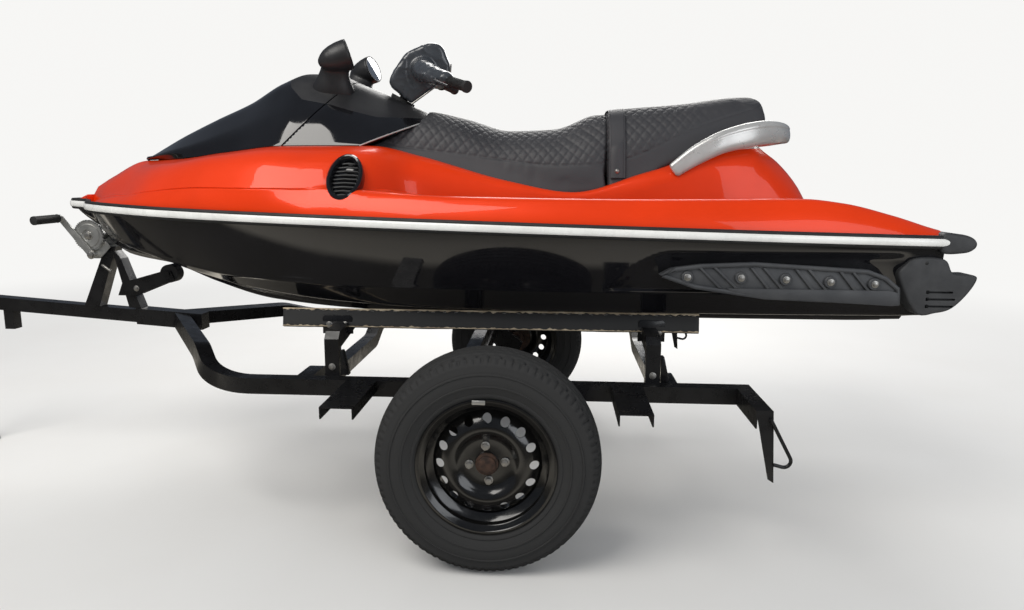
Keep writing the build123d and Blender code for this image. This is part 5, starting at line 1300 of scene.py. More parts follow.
def sponson_mesh(side):
    """Blade with a raised border, slanted webs between five bolts and a lower rail."""
    def at(share, z):
        return (place(share), BASE_Z + z / 1000)

    outline = [at(*p) for p in SPONSON]
    base = prism_mesh(outline, 0.40, SPONSON_FACE - SPONSON_RELIEF, radius=0.004)
    middle = Vector((sum(p[0] for p in outline) / len(outline), sum(p[1] for p in outline) / len(outline)))
    line = [Vector((mix(x, middle[0], 0.03), SPONSON_FACE - 0.007, mix(z, middle[1], 0.10))) for x, z in outline]
    border = sweep_mesh(line, [(a * 0.0070, b * 0.0065) for a, b in circle(1.0, 10)], up=Vector((0, 1, 0)),
                        closed=True)
    pieces = [base, border]
    for i, (share, z) in enumerate(SPONSON_BOLTS):
        x, height = at(share, z)
        pieces.append(turned_mesh([(0.0, 0.0), (0.0185, 0.0), (0.0175, 0.007), (0.0155, 0.009), (0.0, 0.009)],
                                  (x, SPONSON_FACE - SPONSON_RELIEF - 0.0005, height), (0, 1, 0), 28))
        if i == len(SPONSON_BOLTS) - 1:
            continue
        gap = SPONSON_BOLTS[i + 1][0] - share
        for low, high in ((0.22, 0.62), (0.50, 0.92)):
            a, b = at(share + gap * low, z + 30), at(share + gap * high, z - 31)
            web = prism_mesh([(a[0] - 0.005, a[1]), (a[0] + 0.005, a[1]), (b[0] + 0.005, b[1]), (b[0] - 0.005, b[1])],
                             SPONSON_FACE - SPONSON_RELIEF - 0.002, SPONSON_FACE - 0.001, radius=0.002)
            pieces.append(web)
    rail = prism_mesh([at(*p) for p in SPONSON_RAIL], SPONSON_FACE - SPONSON_RELIEF - 0.002, SPONSON_FACE,
                      radius=0.003)
    mesh = joined("sponson", pieces + [rail])
    return mesh if side > 0 else transformed(mesh, FLIP_Y)


# share, z over the base line of the two stern caps
CORNER_CAP = ((0.918, 301), (0.923, 340), (0.933, 360), (0.958, 356), (0.967, 316), (0.984, 312), (0.989, 299),
              (0.982, 256), (0.969, 212), (0.955, 197), (0.936, 197))
RAIL_CAP = ((0.955, 376), (0.955, 429), (0.970, 430), (0.981, 421), (0.986, 404), (0.984, 386), (0.975, 374))


def smooth_plate(table, low, high, radius):
    """Plate across Y with an eased outline and a rounded rim."""
    line = curve_points([(place(share), 0, BASE_Z + z / 1000) for share, z in table], 66, closed=True)
    return modified(prism_mesh([(p.x, p.z) for p in line], low, high),
                    ("BEVEL", {"width": radius, "segments": 4, "limit_method": "ANGLE", "angle_limit": 1.0}))


def stern_cap_meshes():
    """Corner mouldings with three slots, and the bumpers that end the rub rail."""
    corner = smooth_plate(CORNER_CAP, 0.486, 0.559, 0.012)
    slots = []
    for i, length in enumerate((0.0260, 0.0270, 0.0245)):
        z = BASE_Z + 0.2145 + 0.021 * i
        slots.append(box_mesh((place(0.9435), 0.545, z), (place(0.9435 + length), 0.575, z + 0.0062), 0.0012, 1))
        slots.append(box_mesh((place(0.9435), 0.540, z - 0.002), (place(0.9465), 0.575, z + 0.0085), 0.0012, 1))
    for slot in slots:
        tool = loose(slot)
        corner = modified(corner, ("BOOLEAN", {"operation": "DIFFERENCE", "solver": "EXACT", "object": tool}))
        bpy.data.objects.remove(tool)
    return both_sides(corner), both_sides(smooth_plate(RAIL_CAP, 0.330, beam_at(STERN) + 0.019, 0.011))


# ---- repeats -------------------------------------------------------------------------------------

def scattered(name, spots, mesh, material, scale=1.0):
    """Copies of a mesh on spots of (place, axis, spin), set by a node tree and made real."""
    points = bpy.data.meshes.new(name)
    points.from_pydata([tuple(p) for p, _, _ in spots], [], [])
    turn = points.attributes.new("turn", "FLOAT_VECTOR", "POINT")
    for i, (_, axis, spin) in enumerate(spots):
        quat = Vector(axis).normalized().to_track_quat("Z", "Y")
        turn.data[i].vector = Vector((quat @ Matrix.Rotation(spin, 3, "Z").to_quaternion()).to_euler())
    tool = loose(mesh)
    tree = bpy.data.node_groups.new(name, "GeometryNodeTree")
    tree.interface.new_socket("Geometry", in_out="INPUT", socket_type="NodeSocketGeometry")
    item = tree.interface.new_socket("Item", in_out="INPUT", socket_type="NodeSocketObject")
    paint = tree.interface.new_socket("Paint", in_out="INPUT", socket_type="NodeSocketMaterial")
    size = tree.interface.new_socket("Size", in_out="INPUT", socket_type="NodeSocketFloat")
    tree.interface.new_socket("Geometry", in_out="OUTPUT", socket_type="NodeSocketGeometry")
    new, link = tree.nodes.new, tree.links.new
    entry, leave = new("NodeGroupInput"), new("NodeGroupOutput")
    info, named, place_on = new("GeometryNodeObjectInfo"), new("GeometryNodeInputNamedAttribute"), new(
        "GeometryNodeInstanceOnPoints")
    real, dress = new("GeometryNodeRealizeInstances"), new("GeometryNodeSetMaterial")
    named.data_type = "FLOAT_VECTOR"
    named.inputs["Name"].default_value = "turn"
    link(entry.outputs["Geometry"], place_on.inputs["Points"])
    link(entry.outputs["Item"], info.inputs["Object"])
    link(info.outputs["Geometry"], place_on.inputs["Instance"])
    link(named.outputs["Attribute"], place_on.inputs["Rotation"])
    link(entry.outputs["Size"], place_on.inputs["Scale"])
    link(place_on.outputs["Instances"], real.inputs["Geometry"])
    link(real.outputs["Geometry"], dress.inputs["Geometry"])
    link(entry.outputs["Paint"], dress.inputs["Material"])
    link(dress.outputs["Geometry"], leave.inputs["Geometry"])
    obj = bpy.data.objects.new(name, points)
    modifier = obj.modifiers.new(name, "NODES")
    modifier.node_group = tree
    modifier[size.identifier] = scale
    modifier[item.identifier] = tool
    modifier[paint.identifier] = made_of(material)
    bpy.context.scene.collection.objects.link(obj)
    bpy.context.view_layer.update()
    out = applied(obj)
    bpy.data.objects.remove(tool)
    return out


def hex_bolt(across=0.0065, height=0.006, washer=0.011):
    """Hexagon head on its washer, foot at the origin, along Z."""
    head = circle(across * 1.1547, 6)
    body = prism_mesh(head, 0.0015, height, axis=2, radius=0.0006)
    profile = [(0, 0), (washer, 0), (washer, 0.0012), (washer - 0.001, 0.0018), (0, 0.0018)]
    return joined("bolt", [body, turned_mesh(profile, (0, 0, 0), (0, 0, 1), 20)])


# ---- wheels --------------------------------------------------------------------------------------

# radius and distance from the middle of the tread of the side wall's outer skin
WALL = ((0.1790, 0.0650), (0.1870, 0.0668), (0.1955, 0.0720), (0.2010, 0.0785), (0.2045, 0.0808), (0.2080, 0.0812),
        (0.2105, 0.0796), (0.2120, 0.0802), (0.2230, 0.0866), (0.2300, 0.0888), (0.2315, 0.0913), (0.2345, 0.0916),
        (0.2360, 0.0893), (0.2450, 0.0905), (0.2560, 0.0906), (0.2630, 0.0894), (0.2645, 0.0920), (0.2680, 0.0914),
        (0.2695, 0.0882), (0.2780, 0.0874), (0.2860, 0.0845), (0.2885, 0.0846), (0.2925, 0.0826), (0.2965, 0.0800),
        (0.3005, 0.0768), (0.3040, 0.0734), (0.3070, 0.0696))
TREAD_HALF = 0.066


def tyre_mesh(side, steps=464, across=53):
    """Tyre with rings on its walls, ribbed shoulders and wavy grooves round its tread."""
    sizes = bpy.context.scene.wc_sizes
    waves, ribs = sizes.tread_waves, sizes.shoulder_ribs

    def groove(w, turn):
        wave = abs((turn * waves / (2 * math.pi)) % 1.0 * 2 - 1) - 0.5
        depth = 0.0
        for line, sway in ((0.0, 0.007), (0.026, -0.006), (-0.026, -0.006), (0.050, 0.004), (-0.050, 0.004)):
            depth = max(depth, 1 - ease(0.0016, 0.0034, abs(w - line - sway * wave)))
        slot = abs((turn * waves / (2 * math.pi) + 0.25) % 1.0 * 2 - 1)
        if abs(w) > 0.051:
            depth = max(depth, 1 - ease(0.12, 0.30, slot))
        return 0.0055 * depth

    rows = []
    for k in range(steps):
        turn = 2 * math.pi * k / steps
        rib = 1 - ease(0.25, 0.45, abs((turn * ribs / (2 * math.pi)) % 1.0 * 2 - 1))
        row = []
        for way in (1, -1):
            part = []
            for r, w in WALL:
                sink = 0.0032 * rib * ease(0.2905, 0.2960, r)
                part.append((r - sink * 0.6, way * (w - sink)))
            if way > 0:
                row += part
                for j in range(across):
                    w = TREAD_HALF * (1 - 2 * j / (across - 1))
                    crown = TYRE_RADIUS - 0.0085 * (abs(w) / TREAD_HALF) ** 4 - 0.0005 * (w / 0.03) ** 2
                    row.append((min(crown, TYRE_RADIUS) - groove(w, turn), w))
            else:
                row += part[::-1]
        way = Vector((math.cos(turn), 0, math.sin(turn)))
        centre = Vector((AXLE_X, side * WHEEL_Y, AXLE_Z))
        rows.append([centre + way * r + Vector((0, side * w, 0)) for r, w in row])
    rows.append(rows[0])
    return welded(grid_mesh("tyre", rows))


DISC = ((0.031, 0.006), (0.034, 0.000), (0.050, -0.001), (0.066, 0.000), (0.077, 0.003), (0.084, 0.009), (0.092, 0.015),
        (0.103, 0.0185), (0.112, 0.0175), (0.122, 0.013), (0.133, 0.007), (0.142, -0.002), (0.1475, -0.011),
        (0.151, -0.0150), (0.158, -0.0165))
RIM = ((0.1915, 0.0775), (0.1945, 0.0765), (0.1950, 0.0750), (0.1935, 0.0715), (0.1915, 0.0700), (0.1790, 0.0655),
       (0.1775, 0.0640), (0.1775, 0.0420), (0.1700, 0.0350), (0.1580, 0.0290), (0.1575, -0.0190), (0.1775, -0.0390),
       (0.1780, -0.0650), (0.1920, -0.0700), (0.1950, -0.0750))


# vents of the disc: count, radius of their circle, radius; circle and turn of the nuts
VENTS, VENT_CIRCLE, VENT_RADIUS = 16, 0.131, 0.013
NUTS, NUT_CIRCLE, NUT_TURN = 4, 0.050, 0.09


def wheel_mesh(side):
    """Pressed wheel: rolled rim and a domed disc with sixteen vents."""
    centre = Vector((AXLE_X, side * WHEEL_Y, AXLE_Z))
    inner = [(r - 0.0055, w - 0.001 if w > 0 else w + 0.001) for r, w in RIM]
    rim = turned_mesh(list(RIM) + inner[::-1] + [RIM[0]], centre, (0, side, 0), 128)
    face = centre + Vector((0, side * 0.038, 0))
    profile = list(DISC) + [(r - 0.0005, w - 0.0042) for r, w in reversed(DISC)] + [DISC[0]]
    disc = turned_mesh(profile, face, (0, side, 0), 128)
    rods = []
    for k in range(VENTS):
        turn = 2 * math.pi * k / VENTS
        spot = face + Vector((VENT_CIRCLE * math.cos(turn), 0, VENT_CIRCLE * math.sin(turn)))
        rods.append(rod_mesh(spot - Vector((0, 0.05, 0)), spot + Vector((0, 0.05, 0)), VENT_RADIUS, 0.001, 24))
    tool = loose(joined("vents", rods))
    disc = modified(disc, ("BOOLEAN", {"operation": "DIFFERENCE", "solver": "EXACT", "object": tool}))
    bpy.data.objects.remove(tool)
    weights = box_mesh((-0.018, -0.0035, -0.006), (0.018, 0.0035, 0.006), 0.0015)
    weights.transform(Matrix.Translation(centre + Vector((-0.02, side * 0.077, 0.1855))))
    return joined("wheel", [painted(rim, "wheel_paint"), painted(disc, "wheel_paint"), painted(weights, "zinc")])


BARREL = ((0.0, 0.0255), (0.010, 0.0260), (0.0215, 0.0245), (0.0255, 0.0215), (0.0268, 0.0165), (0.0268, 0.0120),
          (0.0315, 0.0105), (0.0320, 0.004), (0.0320, -0.006), (0.066, -0.0062), (0.066, -0.020), (0.040, -0.022),
          (0.036, -0.060), (0.0, -0.062))


def hub_mesh(side):
    """Rusty hub with its barrel and four nuts."""
    face = Vector((AXLE_X, side * (WHEEL_Y + 0.038), AXLE_Z))
    barrel = turned_mesh(BARREL, face, (0, side, 0), 48)
    spots = []
    for k in range(NUTS):
        turn = 2 * math.pi / NUTS * k + NUT_TURN
        spot = face + Vector((NUT_CIRCLE * math.cos(turn), side * 0.0005, NUT_CIRCLE * math.sin(turn)))
        spots.append((spot, (0, side, 0), 0.3 * k))
    nuts = scattered("nuts_%d" % side, spots, hex_bolt(0.0085, 0.013, 0.0125), "bright_steel")
    return joined("hub", [painted(barrel, "rusty_iron"), nuts])


# ---- trailer fittings ----------------------------------------------------------------------------

BUNK_Y, BUNK_FRONT, BUNK_LENGTH, BUNK_WIDTH, BUNK_DEPTH = 0.360, -0.193, 1.365, 0.100, 0.045
SLOPE = (0.167 - 0.075) / (0.738 * HALF_BEAM)
STAPLES = 34


def bunk_mesh(side):
    """Board wrapped in vinyl that sags into folds, its lining frayed along the upper edge."""
    tilt = math.atan(SLOPE)
    across = Vector((0, math.cos(tilt), math.sin(tilt)))
    lift = Vector((0, -math.sin(tilt), math.cos(tilt)))
    top = Vector((0, BUNK_Y, BASE_Z + 0.075 + BUNK_Y * SLOPE)) - lift * 0.0006
    half, deep = BUNK_WIDTH / 2 - 0.0015, BUNK_DEPTH + 0.019
    start = (-half + 0.010, 0)
    section = rounded([start, (half, 0), (half, -deep), (-half, -deep), (-half, 0), start], (0.010,) * 4, 5, 3)[:-1]
    rows = []
    count = 190
    for k in range(count):
        t = k / (count - 1)
        x = BUNK_FRONT + 0.002 + (BUNK_LENGTH - 0.004) * t
        end = 1 - ease(0.0, 0.006, min(t, 1 - t))
        row = []
        for a, b in section:
            fold = noise.noise(Vector((x * 9, a * 14, b * 30))) * 0.0022
            fold += noise.noise(Vector((x * 34, a * 30, b * 60))) * 0.0010
            if b > -0.004:
                fold = min(fold, 0) - 0.0008
            shrink = 0.006 * end
            aa = a - math.copysign(shrink + max(fold, -0.004) * -0.5, a)
            row.append(top + Vector((x, 0, 0)) + across * aa + lift * (b + (fold if b > -0.004 else -fold * 0.6)))
        rows.append(row)
    body = painted(grid_mesh("bunk", rows, ring=True, cap_start=True, cap_end=True), "bunk_vinyl")
    strips = []
    for start, run, wide in ((-0.0015, -1, 0.0045), (0.0030 - deep, 1, 0.0025)):
        rows = []
        for k in range(260):
            t = k / 259
            x = BUNK_FRONT + 0.004 + (BUNK_LENGTH - 0.008) * t
            ragged = 0.006 * noise.noise(Vector((x * 60, 3 * run, side))) + 0.003 * noise.noise(
                Vector((x * 210, run, side)))
            row = []
            for u, out in ((0.0, 0.0006), (0.3, 0.0016), (0.7, 0.0018), (1.0, 0.0012 + 0.8 * abs(ragged))):
                row.append(top + Vector((x, 0, 0)) + across * (half + out)
                           + lift * (start + run * u * max(wide + ragged, 0.0008)))
            rows.append(row)
        strip = modified(grid_mesh("lining", rows), ("SOLIDIFY", {"thickness": 0.0014, "offset": 0.0}))
        strips.append(painted(strip, "bunk_lining"))
    return body, strips, top, across, lift, half


def bunk_pair():
    """Both bunks with their linings and staples."""
    meshes = []
    for side in (-1, 1):
        body, strips, top, across, lift, half = bunk_mesh(side)
        spots = []
        for k in range(STAPLES):
            t = (k + 0.3 * noise.noise(Vector((k * 1.7, 0, 0)))) / (STAPLES - 1)
            spot = top + Vector((BUNK_FRONT + 0.02 + (BUNK_LENGTH - 0.04) * t, 0, 0))
            spots.append((spot + across * (half + 0.0024) - lift * 0.009, across, 0.2 * math.sin(k * 2.1)))
        staple = box_mesh((-0.0060, -0.0006, -0.0005), (0.0060, 0.0006, 0.0008), 0.0003, 1)
        staples = scattered("staples_%d" % side, spots, staple, "bright_steel")
        mesh = joined("bunk", [body] + strips + [staples])
        meshes.append(mesh if side > 0 else transformed(mesh, FLIP_Y))
    return joined("bunks", meshes)


# x, z and side plane of bolts seen on the trailer
TRAILER_BOLTS = ((0.010, 0.509, 0.5450), (1.010, 0.501, 0.5450), (-0.905, 0.668, 0.0313), (-1.020, 0.845, 0.0420),
                 (-0.034, 0.618, 0.4165), (0.020, 0.618, 0.4165), (0.996, 0.610, 0.4165), (1.042, 0.610, 0.4165))
# x from, x to, z from, z to of the clamp plates on the bunks' outer faces
CLAMPS = ((-0.056, 0.044, 0.588, 0.650), (0.975, 1.061, 0.580, 0.650))


def trailer_bolts():
    """Bolts on both sides of the trailer."""
    spots = []
    for side in (-1, 1):
        for x, z, y in TRAILER_BOLTS:
            spots.append((Vector((x, side * y, z)), (0, side, 0), x * 40))
    return scattered("trailer_bolts", spots, hex_bolt(), "bright_steel", bpy.context.scene.wc_sizes.bolt_size)


def bracket_plates():
    """Slanted stiffening plate beside each bunk post and the clamps that hold the bunks."""
    pieces = []
    for x0, x1, z0, z1 in CLAMPS:
        outline = [(x0, z0), (x1, z0), (x1, z1 - 0.008), (x1 - 0.008, z1), (x0 + 0.008, z1), (x0, z1 - 0.008)]
        pieces.append(prism_mesh(outline, 0.4085, 0.4165, radius=0.001))
    for x in (0.010, 1.010):
        outline = [(x + 0.026, 0.482), (x + 0.052, 0.482), (x + 0.034, 0.560), (x + 0.026, 0.560)]
        pieces.append(prism_mesh(outline, 0.516, 0.543, radius=0.0015))
    return both_sides(joined("plates", pieces))


WINCH, GEAR_TEETH, GEAR_RADIUS = (-1.064, 0.872), 44, 0.0555


def winch_meshes():
    """Gear teeth, the drum's axle nut and the crank's grip."""
    x, z = WINCH
    spots = []
    for k in range(GEAR_TEETH):
        turn = 2 * math.pi * k / GEAR_TEETH
        way = Vector((math.cos(turn), 0, math.sin(turn)))
        spots.append((Vector((x, -0.050, z)) + way * GEAR_RADIUS, way, 0.0))
    tooth = prism_mesh([(-0.0024, -0.002), (0.0024, -0.002), (0.0012, 0.0040), (-0.0012, 0.0040)], -0.004, 0.004,
                       radius=0.0004)
    turn = Matrix(((0, 1, 0), (1, 0, 0), (0, 0, 1))).to_4x4()
    tooth.transform(turn)
    teeth = scattered("teeth", spots, tooth, "zinc")
    nut = scattered("axle_nut", [(Vector((x, -0.0535, z)), (0, -1, 0), 0.3), (Vector((x + 0.014, -0.0685, z - 0.072)),
                                                                              (0, -1, 0), 0.1)],
                    hex_bolt(0.0105, 0.009, 0.0160), "bright_steel")
    face = turned_mesh([(0.020, 0.0), (0.022, 0.0022), (0.043, 0.0022), (0.045, 0.0)], (x, -0.0540, z), (0, -1, 0), 40)
    end = Vector((x + 0.014 - 0.111, -0.065, z - 0.072 + 0.137))
    outer = Vector((end.x - 0.020, end.y - 0.117, end.z - 0.003))
    way = (outer - end).normalized()
    profile = [(0.0, 0.010), (0.0155, 0.010), (0.0165, 0.013), (0.0150, 0.020)]
    for k in range(9):
        profile += [(0.0152, 0.024 + 0.009 * k), (0.0160, 0.027 + 0.009 * k), (0.0152, 0.030 + 0.009 * k)]
    pin = rod_mesh((-1.036, -0.030, 0.759), (-0.997, -0.034, 0.732), 0.0055)
    length = (outer - end).length
    profile += [(0.0165, length - 0.006), (0.0160, length + 0.001), (0.0100, length + 0.003), (0.0, length + 0.003)]
    grip = painted(turned_mesh(profile, end, way, 28), "rubber")
    return joined("winch", [teeth, nut, painted(face, "zinc"), grip, painted(pin, "bright_steel")])


# ---- operators -----------------------------------------------------------------------------------

class WC_OT_stage(bpy.types.Operator):
    """Floor, soft studio light and the camera at the photograph's angle."""
    bl_idname = "watercraft.stage"
    bl_label = "Stage"

    def execute(self, context):
        scene = context.scene
        scene.view_settings.view_transform = "Standard"
        floor = bpy.data.meshes.new("floor")
        floor.from_pydata([(-60, -60, 0), (60, -60, 0), (60, 60, 0), (-60, 60, 0)], [], [(0, 1, 2, 3)])
        ground = bpy.data.objects.new("floor", floor)
        scene.collection.objects.link(ground)
        floor.materials.append(floor_look())
        world = bpy.data.worlds.new("studio")
        scene.world = world
        world.use_nodes = True
        nodes, links = world.node_tree.nodes, world.node_tree.links
        back = nodes["Background"]
        path = nodes.new("ShaderNodeLightPath")
        back.inputs[0].default_value, back.inputs[1].default_value = (0.92, 0.95, 1.0, 1), 0.50
        last = back.outputs[0]
        for ray, colour, strength in (("Is Glossy Ray", (0.72, 0.82, 1.0, 1), 0.15), ("Is Camera Ray", PALE, 1.0)):
            other, blend = nodes.new("ShaderNodeBackground"), nodes.new("ShaderNodeMixShader")
            other.inputs[0].default_value, other.inputs[1].default_value = colour, strength
            links.new(path.outputs[ray], blend.inputs[0])
            links.new(last, blend.inputs[1])
            links.new(other.outputs[0], blend.inputs[2])
            last = blend.outputs[0]
        links.new(last, nodes["World Output"].inputs[0])
        for name, spot, aim, size, power, tint in (
                ("key", (-2.0, -3.2, 5.0), (0.2, 0.0, 0.7), 3.5, 225, (1.0, 0.97, 0.92)),
                ("fill", (4.0, -4.5, 2.2), (0.4, 0.0, 0.7), 3.0, 70, (0.93, 0.96, 1.0)),
                ("rim", (1.0, 4.5, 4.0), (0.2, 0.0, 0.9), 4.0, 260, (1.0, 0.98, 0.95))):
            light = bpy.data.lights.new(name, "AREA")
            light.size, light.energy, light.color = size, power, tint
            lamp = bpy.data.objects.new(name, light)
            lamp.location = spot
            lamp.rotation_euler = (Vector(aim) - Vector(spot)).to_track_quat("-Z", "Y").to_euler()
            scene.collection.objects.link(lamp)
        size = scene.wc_sizes
        camera = bpy.data.cameras.new("camera")
        camera.lens = size.focal_px / 1024 * 36.0
        camera.sensor_width = 36.0
        eye = bpy.data.objects.new("camera", camera)
        pitch, yaw = size.camera_pitch, size.camera_yaw
        ahead = Vector((-math.sin(yaw) * math.cos(pitch), math.cos(yaw) * math.cos(pitch), -math.sin(pitch)))
        eye.location = (size.camera_x, size.camera_y, size.camera_z)
        roll = Matrix.Rotation(size.camera_roll, 3, "Z").to_quaternion()
        eye.rotation_euler = (ahead.to_track_quat("-Z", "Y") @ roll).to_euler()
        scene.collection.objects.link(eye)
        scene.camera = eye
        return {"FINISHED"}


class WC_OT_nodes(bpy.types.Operator):
    """Materials and rounded edges for the solids that stay."""
    bl_idname = "watercraft.nodes"
    bl_label = "Solids"

    def execute(self, context):
        dress_nodes()
        return {"FINISHED"}


class WC_OT_hull(bpy.types.Operator):
    """Hull with strakes, chines and recess."""
    bl_idname = "watercraft.hull"
    bl_label = "Hull"

    def execute(self, context):
        obj = add_object("hull_skin", hull_mesh(), material="gel_black", angle=28)
        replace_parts(obj, "hull")
        return {"FINISHED"}


class WC_OT_deck(bpy.types.Operator):
    """Deck moulding with its footwells and storage bin."""
    bl_idname = "watercraft.deck"
    bl_label = "Deck"

    def execute(self, context):
        mesh = two_toned(deck_mesh(), SILVER_EDGE)
        mesh.materials.append(made_of("gel_red"))
        mesh.materials.append(made_of("silver"))
        obj = add_object("deck_skin", mesh, angle=50)
        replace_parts(obj, "deck")
        add_object("bin_liner", bin_liner_mesh(), material="plastic_cap")
        return {"FINISHED"}


class WC_OT_covers(bpy.types.Operator):
    """Hood and console."""
    bl_idname = "watercraft.covers"
    bl_label = "Hood and console"

    def execute(self, context):
        point = Vector((place(HOOD_END), 0, BASE_Z + HOOD_END_Z))
        way = Vector((1, 0, -HOOD_LEAN)).normalized()
        half = HOOD_SPLIT / 2
        cuts = []
        for (s0, z0), (s1, z1) in ((SEAT_JOINT[0], SEAT_JOINT[2]), (SEAT_JOINT[2], SEAT_JOINT[4])):
            across = Vector(((z1 - z0) / 1000, 0, place(s0) - place(s1))).normalized()
            cuts.append((Vector((place(s0) - 0.0015, 0, BASE_Z + z0 / 1000)), across))
        for name, node, body, planes in (
                ("hood_skin", "hood", "hood_lid", [(point - Vector((half, 0, 0)), way)]),
                ("console_skin", "console", "root", [(point + Vector((half, 0, 0)), -way)] + cuts)):
            cover = add_object(name, cover_mesh(*planes), body, None, 40)
            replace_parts(cover, node)
        add_object("console_bulkhead", bulkhead_mesh(), material="plastic_cap")
        add_object("seat_seam", seam_mesh(), material="silver")
        return {"FINISHED"}


class WC_OT_seat(bpy.types.Operator):
    """Two quilted cushions and the strap between them."""
    bl_idname = "watercraft.seat"
    bl_label = "Seat"

    def execute(self, context):
        split = SEAT_SPLIT
        gap = SEAT_GAP / 2 / CRAFT_LENGTH
        for name, node, first, last, slanted in (("seat_front_pad", "seat_front", 0.385, split - gap, True),
                                                 ("seat_rear_pad", "seat_rear", split + gap, 0.822, False)):
            mesh = cushion(first, last, 96 if slanted else 64, slanted)
            bm = opened(mesh)
            quilt(bm, QUILT_FRONT if slanted else QUILT_REAR)
            closed(bm, mesh)
            pad = add_object(name, mesh, material="seat_vinyl", angle=180)
            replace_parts(pad, node)
        strap = add_object("seat_band", strap_mesh(), angle=50)
        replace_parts(strap, "seat_strap")
        return {"FINISHED"}


class WC_OT_bars(bpy.types.Operator):
    """Handlebar's wrapped pad, grips and levers."""
    bl_idname = "watercraft.bars"
    bl_label = "Handlebar"

    def execute(self, context):
        pad = add_object("pad_wrapped", pad_mesh(), "steering", None, 60)
        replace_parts(pad, "handlebar_pad")
        grips = add_object("grips_ribbed", pair("grips", grip_mesh), "steering", None, 40)
        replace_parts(grips, "grips")
        add_object("levers", pair("levers", lever_mesh), "steering", None, 50)
        return {"FINISHED"}


class WC_OT_mirrors(bpy.types.Operator):
    """Mirror pods and their glasses, on the hood."""
    bl_idname = "watercraft.mirrors"
    bl_label = "Mirrors"

    def execute(self, context):
        pods = add_object("mirror_pods", pair("pods", mirror_mesh), "hood_lid", None, 60)
        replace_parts(pods, "mirror_housings")
        glass = add_object("mirror_faces", pair("faces", glass_mesh), "hood_lid", None, 40)
        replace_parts(glass, "mirror_glasses")
        return {"FINISHED"}


class WC_OT_trim(bpy.types.Operator):
    """Rub rail, its strip, stern caps, side grilles, grab handle and sponsons."""
    bl_idname = "watercraft.trim"
    bl_label = "Trim"

    def execute(self, context):
        corners, ends = stern_cap_meshes()
        for name, mesh, node, slot, look, angle in (
                ("rail_rubber", rail_mesh(RUBBER_SECTION), "rub_rail", "rubber_black", "rubber", 35),
                ("rail_strip", rail_mesh(STRIP_SECTION), "rub_strip", "strip_silver", "strip", 35),
                ("handle_wing", handle_mesh(), "grab_handle", "handle_silver", "silver", 40),
                ("sponson_blades", pair("blades", sponson_mesh), "sponsons", "plastic_dark_grey",
                 "plastic_dark", 35),
                ("corner_cap_skins", corners, "stern_corner_caps", "plastic_dark_grey", "plastic_cap", 40),
                ("rail_cap_skins", ends, "rail_end_caps", "plastic_dark_grey", "plastic_cap", 40),
                ("grille_rounds", pair("grilles", grille_mesh), "side_grilles", "grille_black", None, 35)):
            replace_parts(add_object(name, mesh, material=look, angle=angle), node)
        spots = []
        for side in (-1, 1):
            for share, z in SPONSON_BOLTS:
                spots.append((Vector((place(share), side * SPONSON_FACE, BASE_Z + z / 1000)), (0, side, 0), share * 40))
        bolts = scattered("sponson_bolts", spots, hex_bolt(0.0055, 0.0062, 0.0105), "bright_steel")
        add_object("sponson_bolts", bolts, angle=35)
        rivets = [(Vector((place(0.9415), side * 0.558, BASE_Z + 0.345)), (0, side, 0), 0.0) for side in (-1, 1)]
        dome = turned_mesh([(0.0, 0.0030), (0.0030, 0.0026), (0.0050, 0.0012), (0.0058, 0.0)], (0, 0, 0), (0, 0, 1), 16)
        add_object("cap_rivets", scattered("cap_rivets", rivets, dome, "rubber"), angle=60)
        return {"FINISHED"}


class WC_OT_wheels(bpy.types.Operator):
    """Tyres, pressed wheels and hubs."""
    bl_idname = "watercraft.wheels"
    bl_label = "Wheels"

    def execute(self, context):
        for side, name in ((-1, "left"), (1, "right")):
            body = name + "_wheel"
            for piece, mesh, node, slot, look in (
                    ("tyre_skin_", tyre_mesh(side), "tyre_", "tyre_rubber", "tyre_rubber"),
                    ("rim_", wheel_mesh(side), "wheel_", "wheel_black", None),
                    ("hub_face_", hub_mesh(side), "hub_", "hub_iron", None)):
                obj = add_object(piece + name, mesh, body, look, 38)
                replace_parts(obj, node + name)
        return {"FINISHED"}


class WC_OT_trailer(bpy.types.Operator):
    """Bunks, bolts, plates and the winch's small parts."""
    bl_idname = "watercraft.trailer"
    bl_label = "Trailer"

    def execute(self, context):
        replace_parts(add_object("bunk_boards", bunk_pair(), angle=50), "bunks")
        add_object("trailer_bolts", trailer_bolts(), angle=35)
        add_object("bracket_plates", bracket_plates(), material="frame_paint")
        add_object("winch_details", winch_meshes(), angle=35)
        return {"FINISHED"}


def colour_setting(name, description, default):
    """Colour that the panel shows."""
    return FloatVectorProperty(name=name, description=description, default=default, subtype="COLOR", size=3, min=0,
                               max=1)


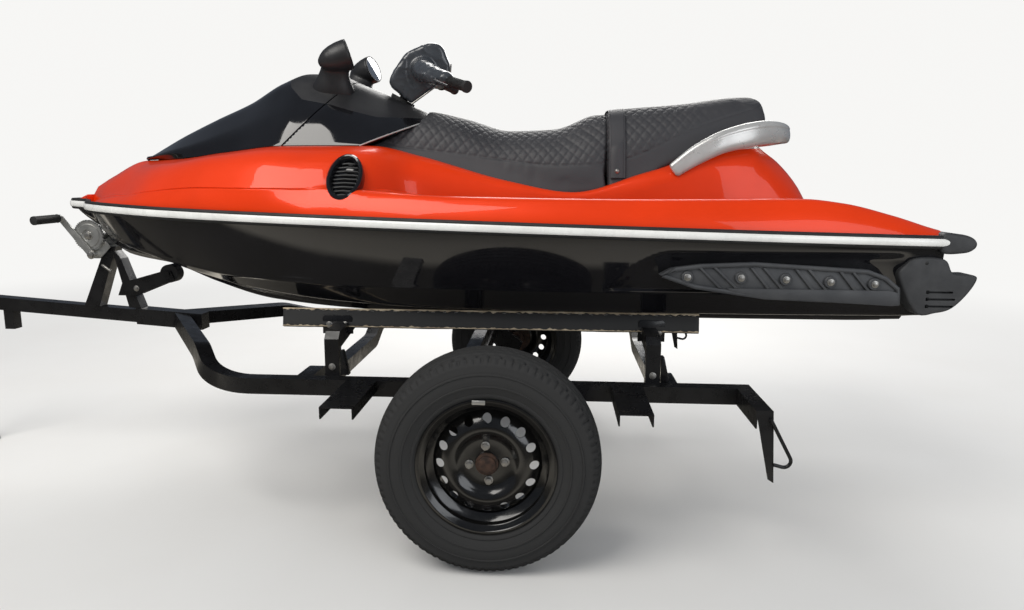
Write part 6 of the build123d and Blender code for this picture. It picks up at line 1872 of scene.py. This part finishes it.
class WC_Sizes(bpy.types.PropertyGroup):
    """Sizes and colours that a user would change."""
    quilt_pitch: FloatProperty(name="Quilt pitch", description="Distance between the seat's sewn channels",
                               default=0.034, min=0.015, unit="LENGTH")
    quilt_depth: FloatProperty(name="Quilt depth", description="How deep the seat's sewn channels sink",
                               default=0.0022, min=0.0, unit="LENGTH")
    tread_waves: IntProperty(name="Tread waves", description="Waves of the tread's grooves round a tyre", default=58)
    shoulder_ribs: IntProperty(name="Shoulder ribs", description="Ribs round each shoulder of a tyre", default=88)
    bolt_size: FloatProperty(name="Bolt size", description="Size of the trailer's bolts against their drawn size",
                             default=1.0, min=0.2, subtype="FACTOR")
    deck_colour: colour_setting("Deck", "Gel coat of the deck moulding", (0.76, 0.042, 0.003))
    hull_colour: colour_setting("Hull", "Gel coat of hull, hood and console", (0.0050, 0.0050, 0.0060))
    seat_colour: colour_setting("Seat", "Vinyl of the cushions", (0.009, 0.011, 0.015))
    silver_colour: colour_setting("Silver", "Paint of the grab handle and the trim", (0.58, 0.58, 0.56))
    frame_colour: colour_setting("Frame", "Paint of the trailer's frame", (0.0050, 0.0050, 0.0056))
    focal_px: FloatProperty(name="Focal length", description="Camera's focal length in pixels of a 1024 wide picture",
                            default=740.0, subtype="PIXEL")
    camera_x: FloatProperty(name="Camera X", description="Camera's place along the craft", default=0.70, unit="LENGTH")
    camera_y: FloatProperty(name="Camera Y", description="Camera's place across the craft", default=-2.77,
                            unit="LENGTH")
    camera_z: FloatProperty(name="Camera Z", description="Camera's height", default=1.10, unit="LENGTH")
    camera_pitch: FloatProperty(name="Camera pitch", description="How far the camera looks down",
                                default=math.radians(9.8), subtype="ANGLE")
    camera_yaw: FloatProperty(name="Camera yaw", description="How far the camera looks towards the bow",
                              default=math.radians(3.2), subtype="ANGLE")
    camera_roll: FloatProperty(name="Camera roll", description="Turn of the camera about its line of sight",
                               default=math.radians(0.35), subtype="ANGLE")


class WC_PT_panel(bpy.types.Panel):
    """Builds the pieces one by one."""
    bl_label = "Watercraft"
    bl_idname = "WC_PT_panel"
    bl_space_type = "VIEW_3D"
    bl_region_type = "UI"
    bl_category = "Watercraft"

    def draw(self, context):
        for operator in OPERATORS:
            self.layout.operator(operator.bl_idname)
        for name in WC_Sizes.__annotations__:
            self.layout.prop(context.scene.wc_sizes, name)


OPERATORS = (WC_OT_stage, WC_OT_nodes, WC_OT_hull, WC_OT_deck, WC_OT_covers, WC_OT_seat, WC_OT_bars, WC_OT_mirrors,
             WC_OT_trim, WC_OT_wheels, WC_OT_trailer)
CLASSES = (WC_Sizes, *OPERATORS, WC_PT_panel)


def register():
    """Adds the classes and the settings."""
    for cls in CLASSES:
        bpy.utils.register_class(cls)
    bpy.types.Scene.wc_sizes = PointerProperty(type=WC_Sizes)


def unregister():
    """Removes them."""
    del bpy.types.Scene.wc_sizes
    for cls in reversed(CLASSES):
        bpy.utils.unregister_class(cls)


def main():
    """Builds every piece in order."""
    register()
    for operator in OPERATORS:
        group, name = operator.bl_idname.split(".")
        result = getattr(getattr(bpy.ops, group), name)()
        if result != {"FINISHED"}:
            raise RuntimeError(operator.bl_idname + " did not finish")


if __name__ == "__main__":
    main()
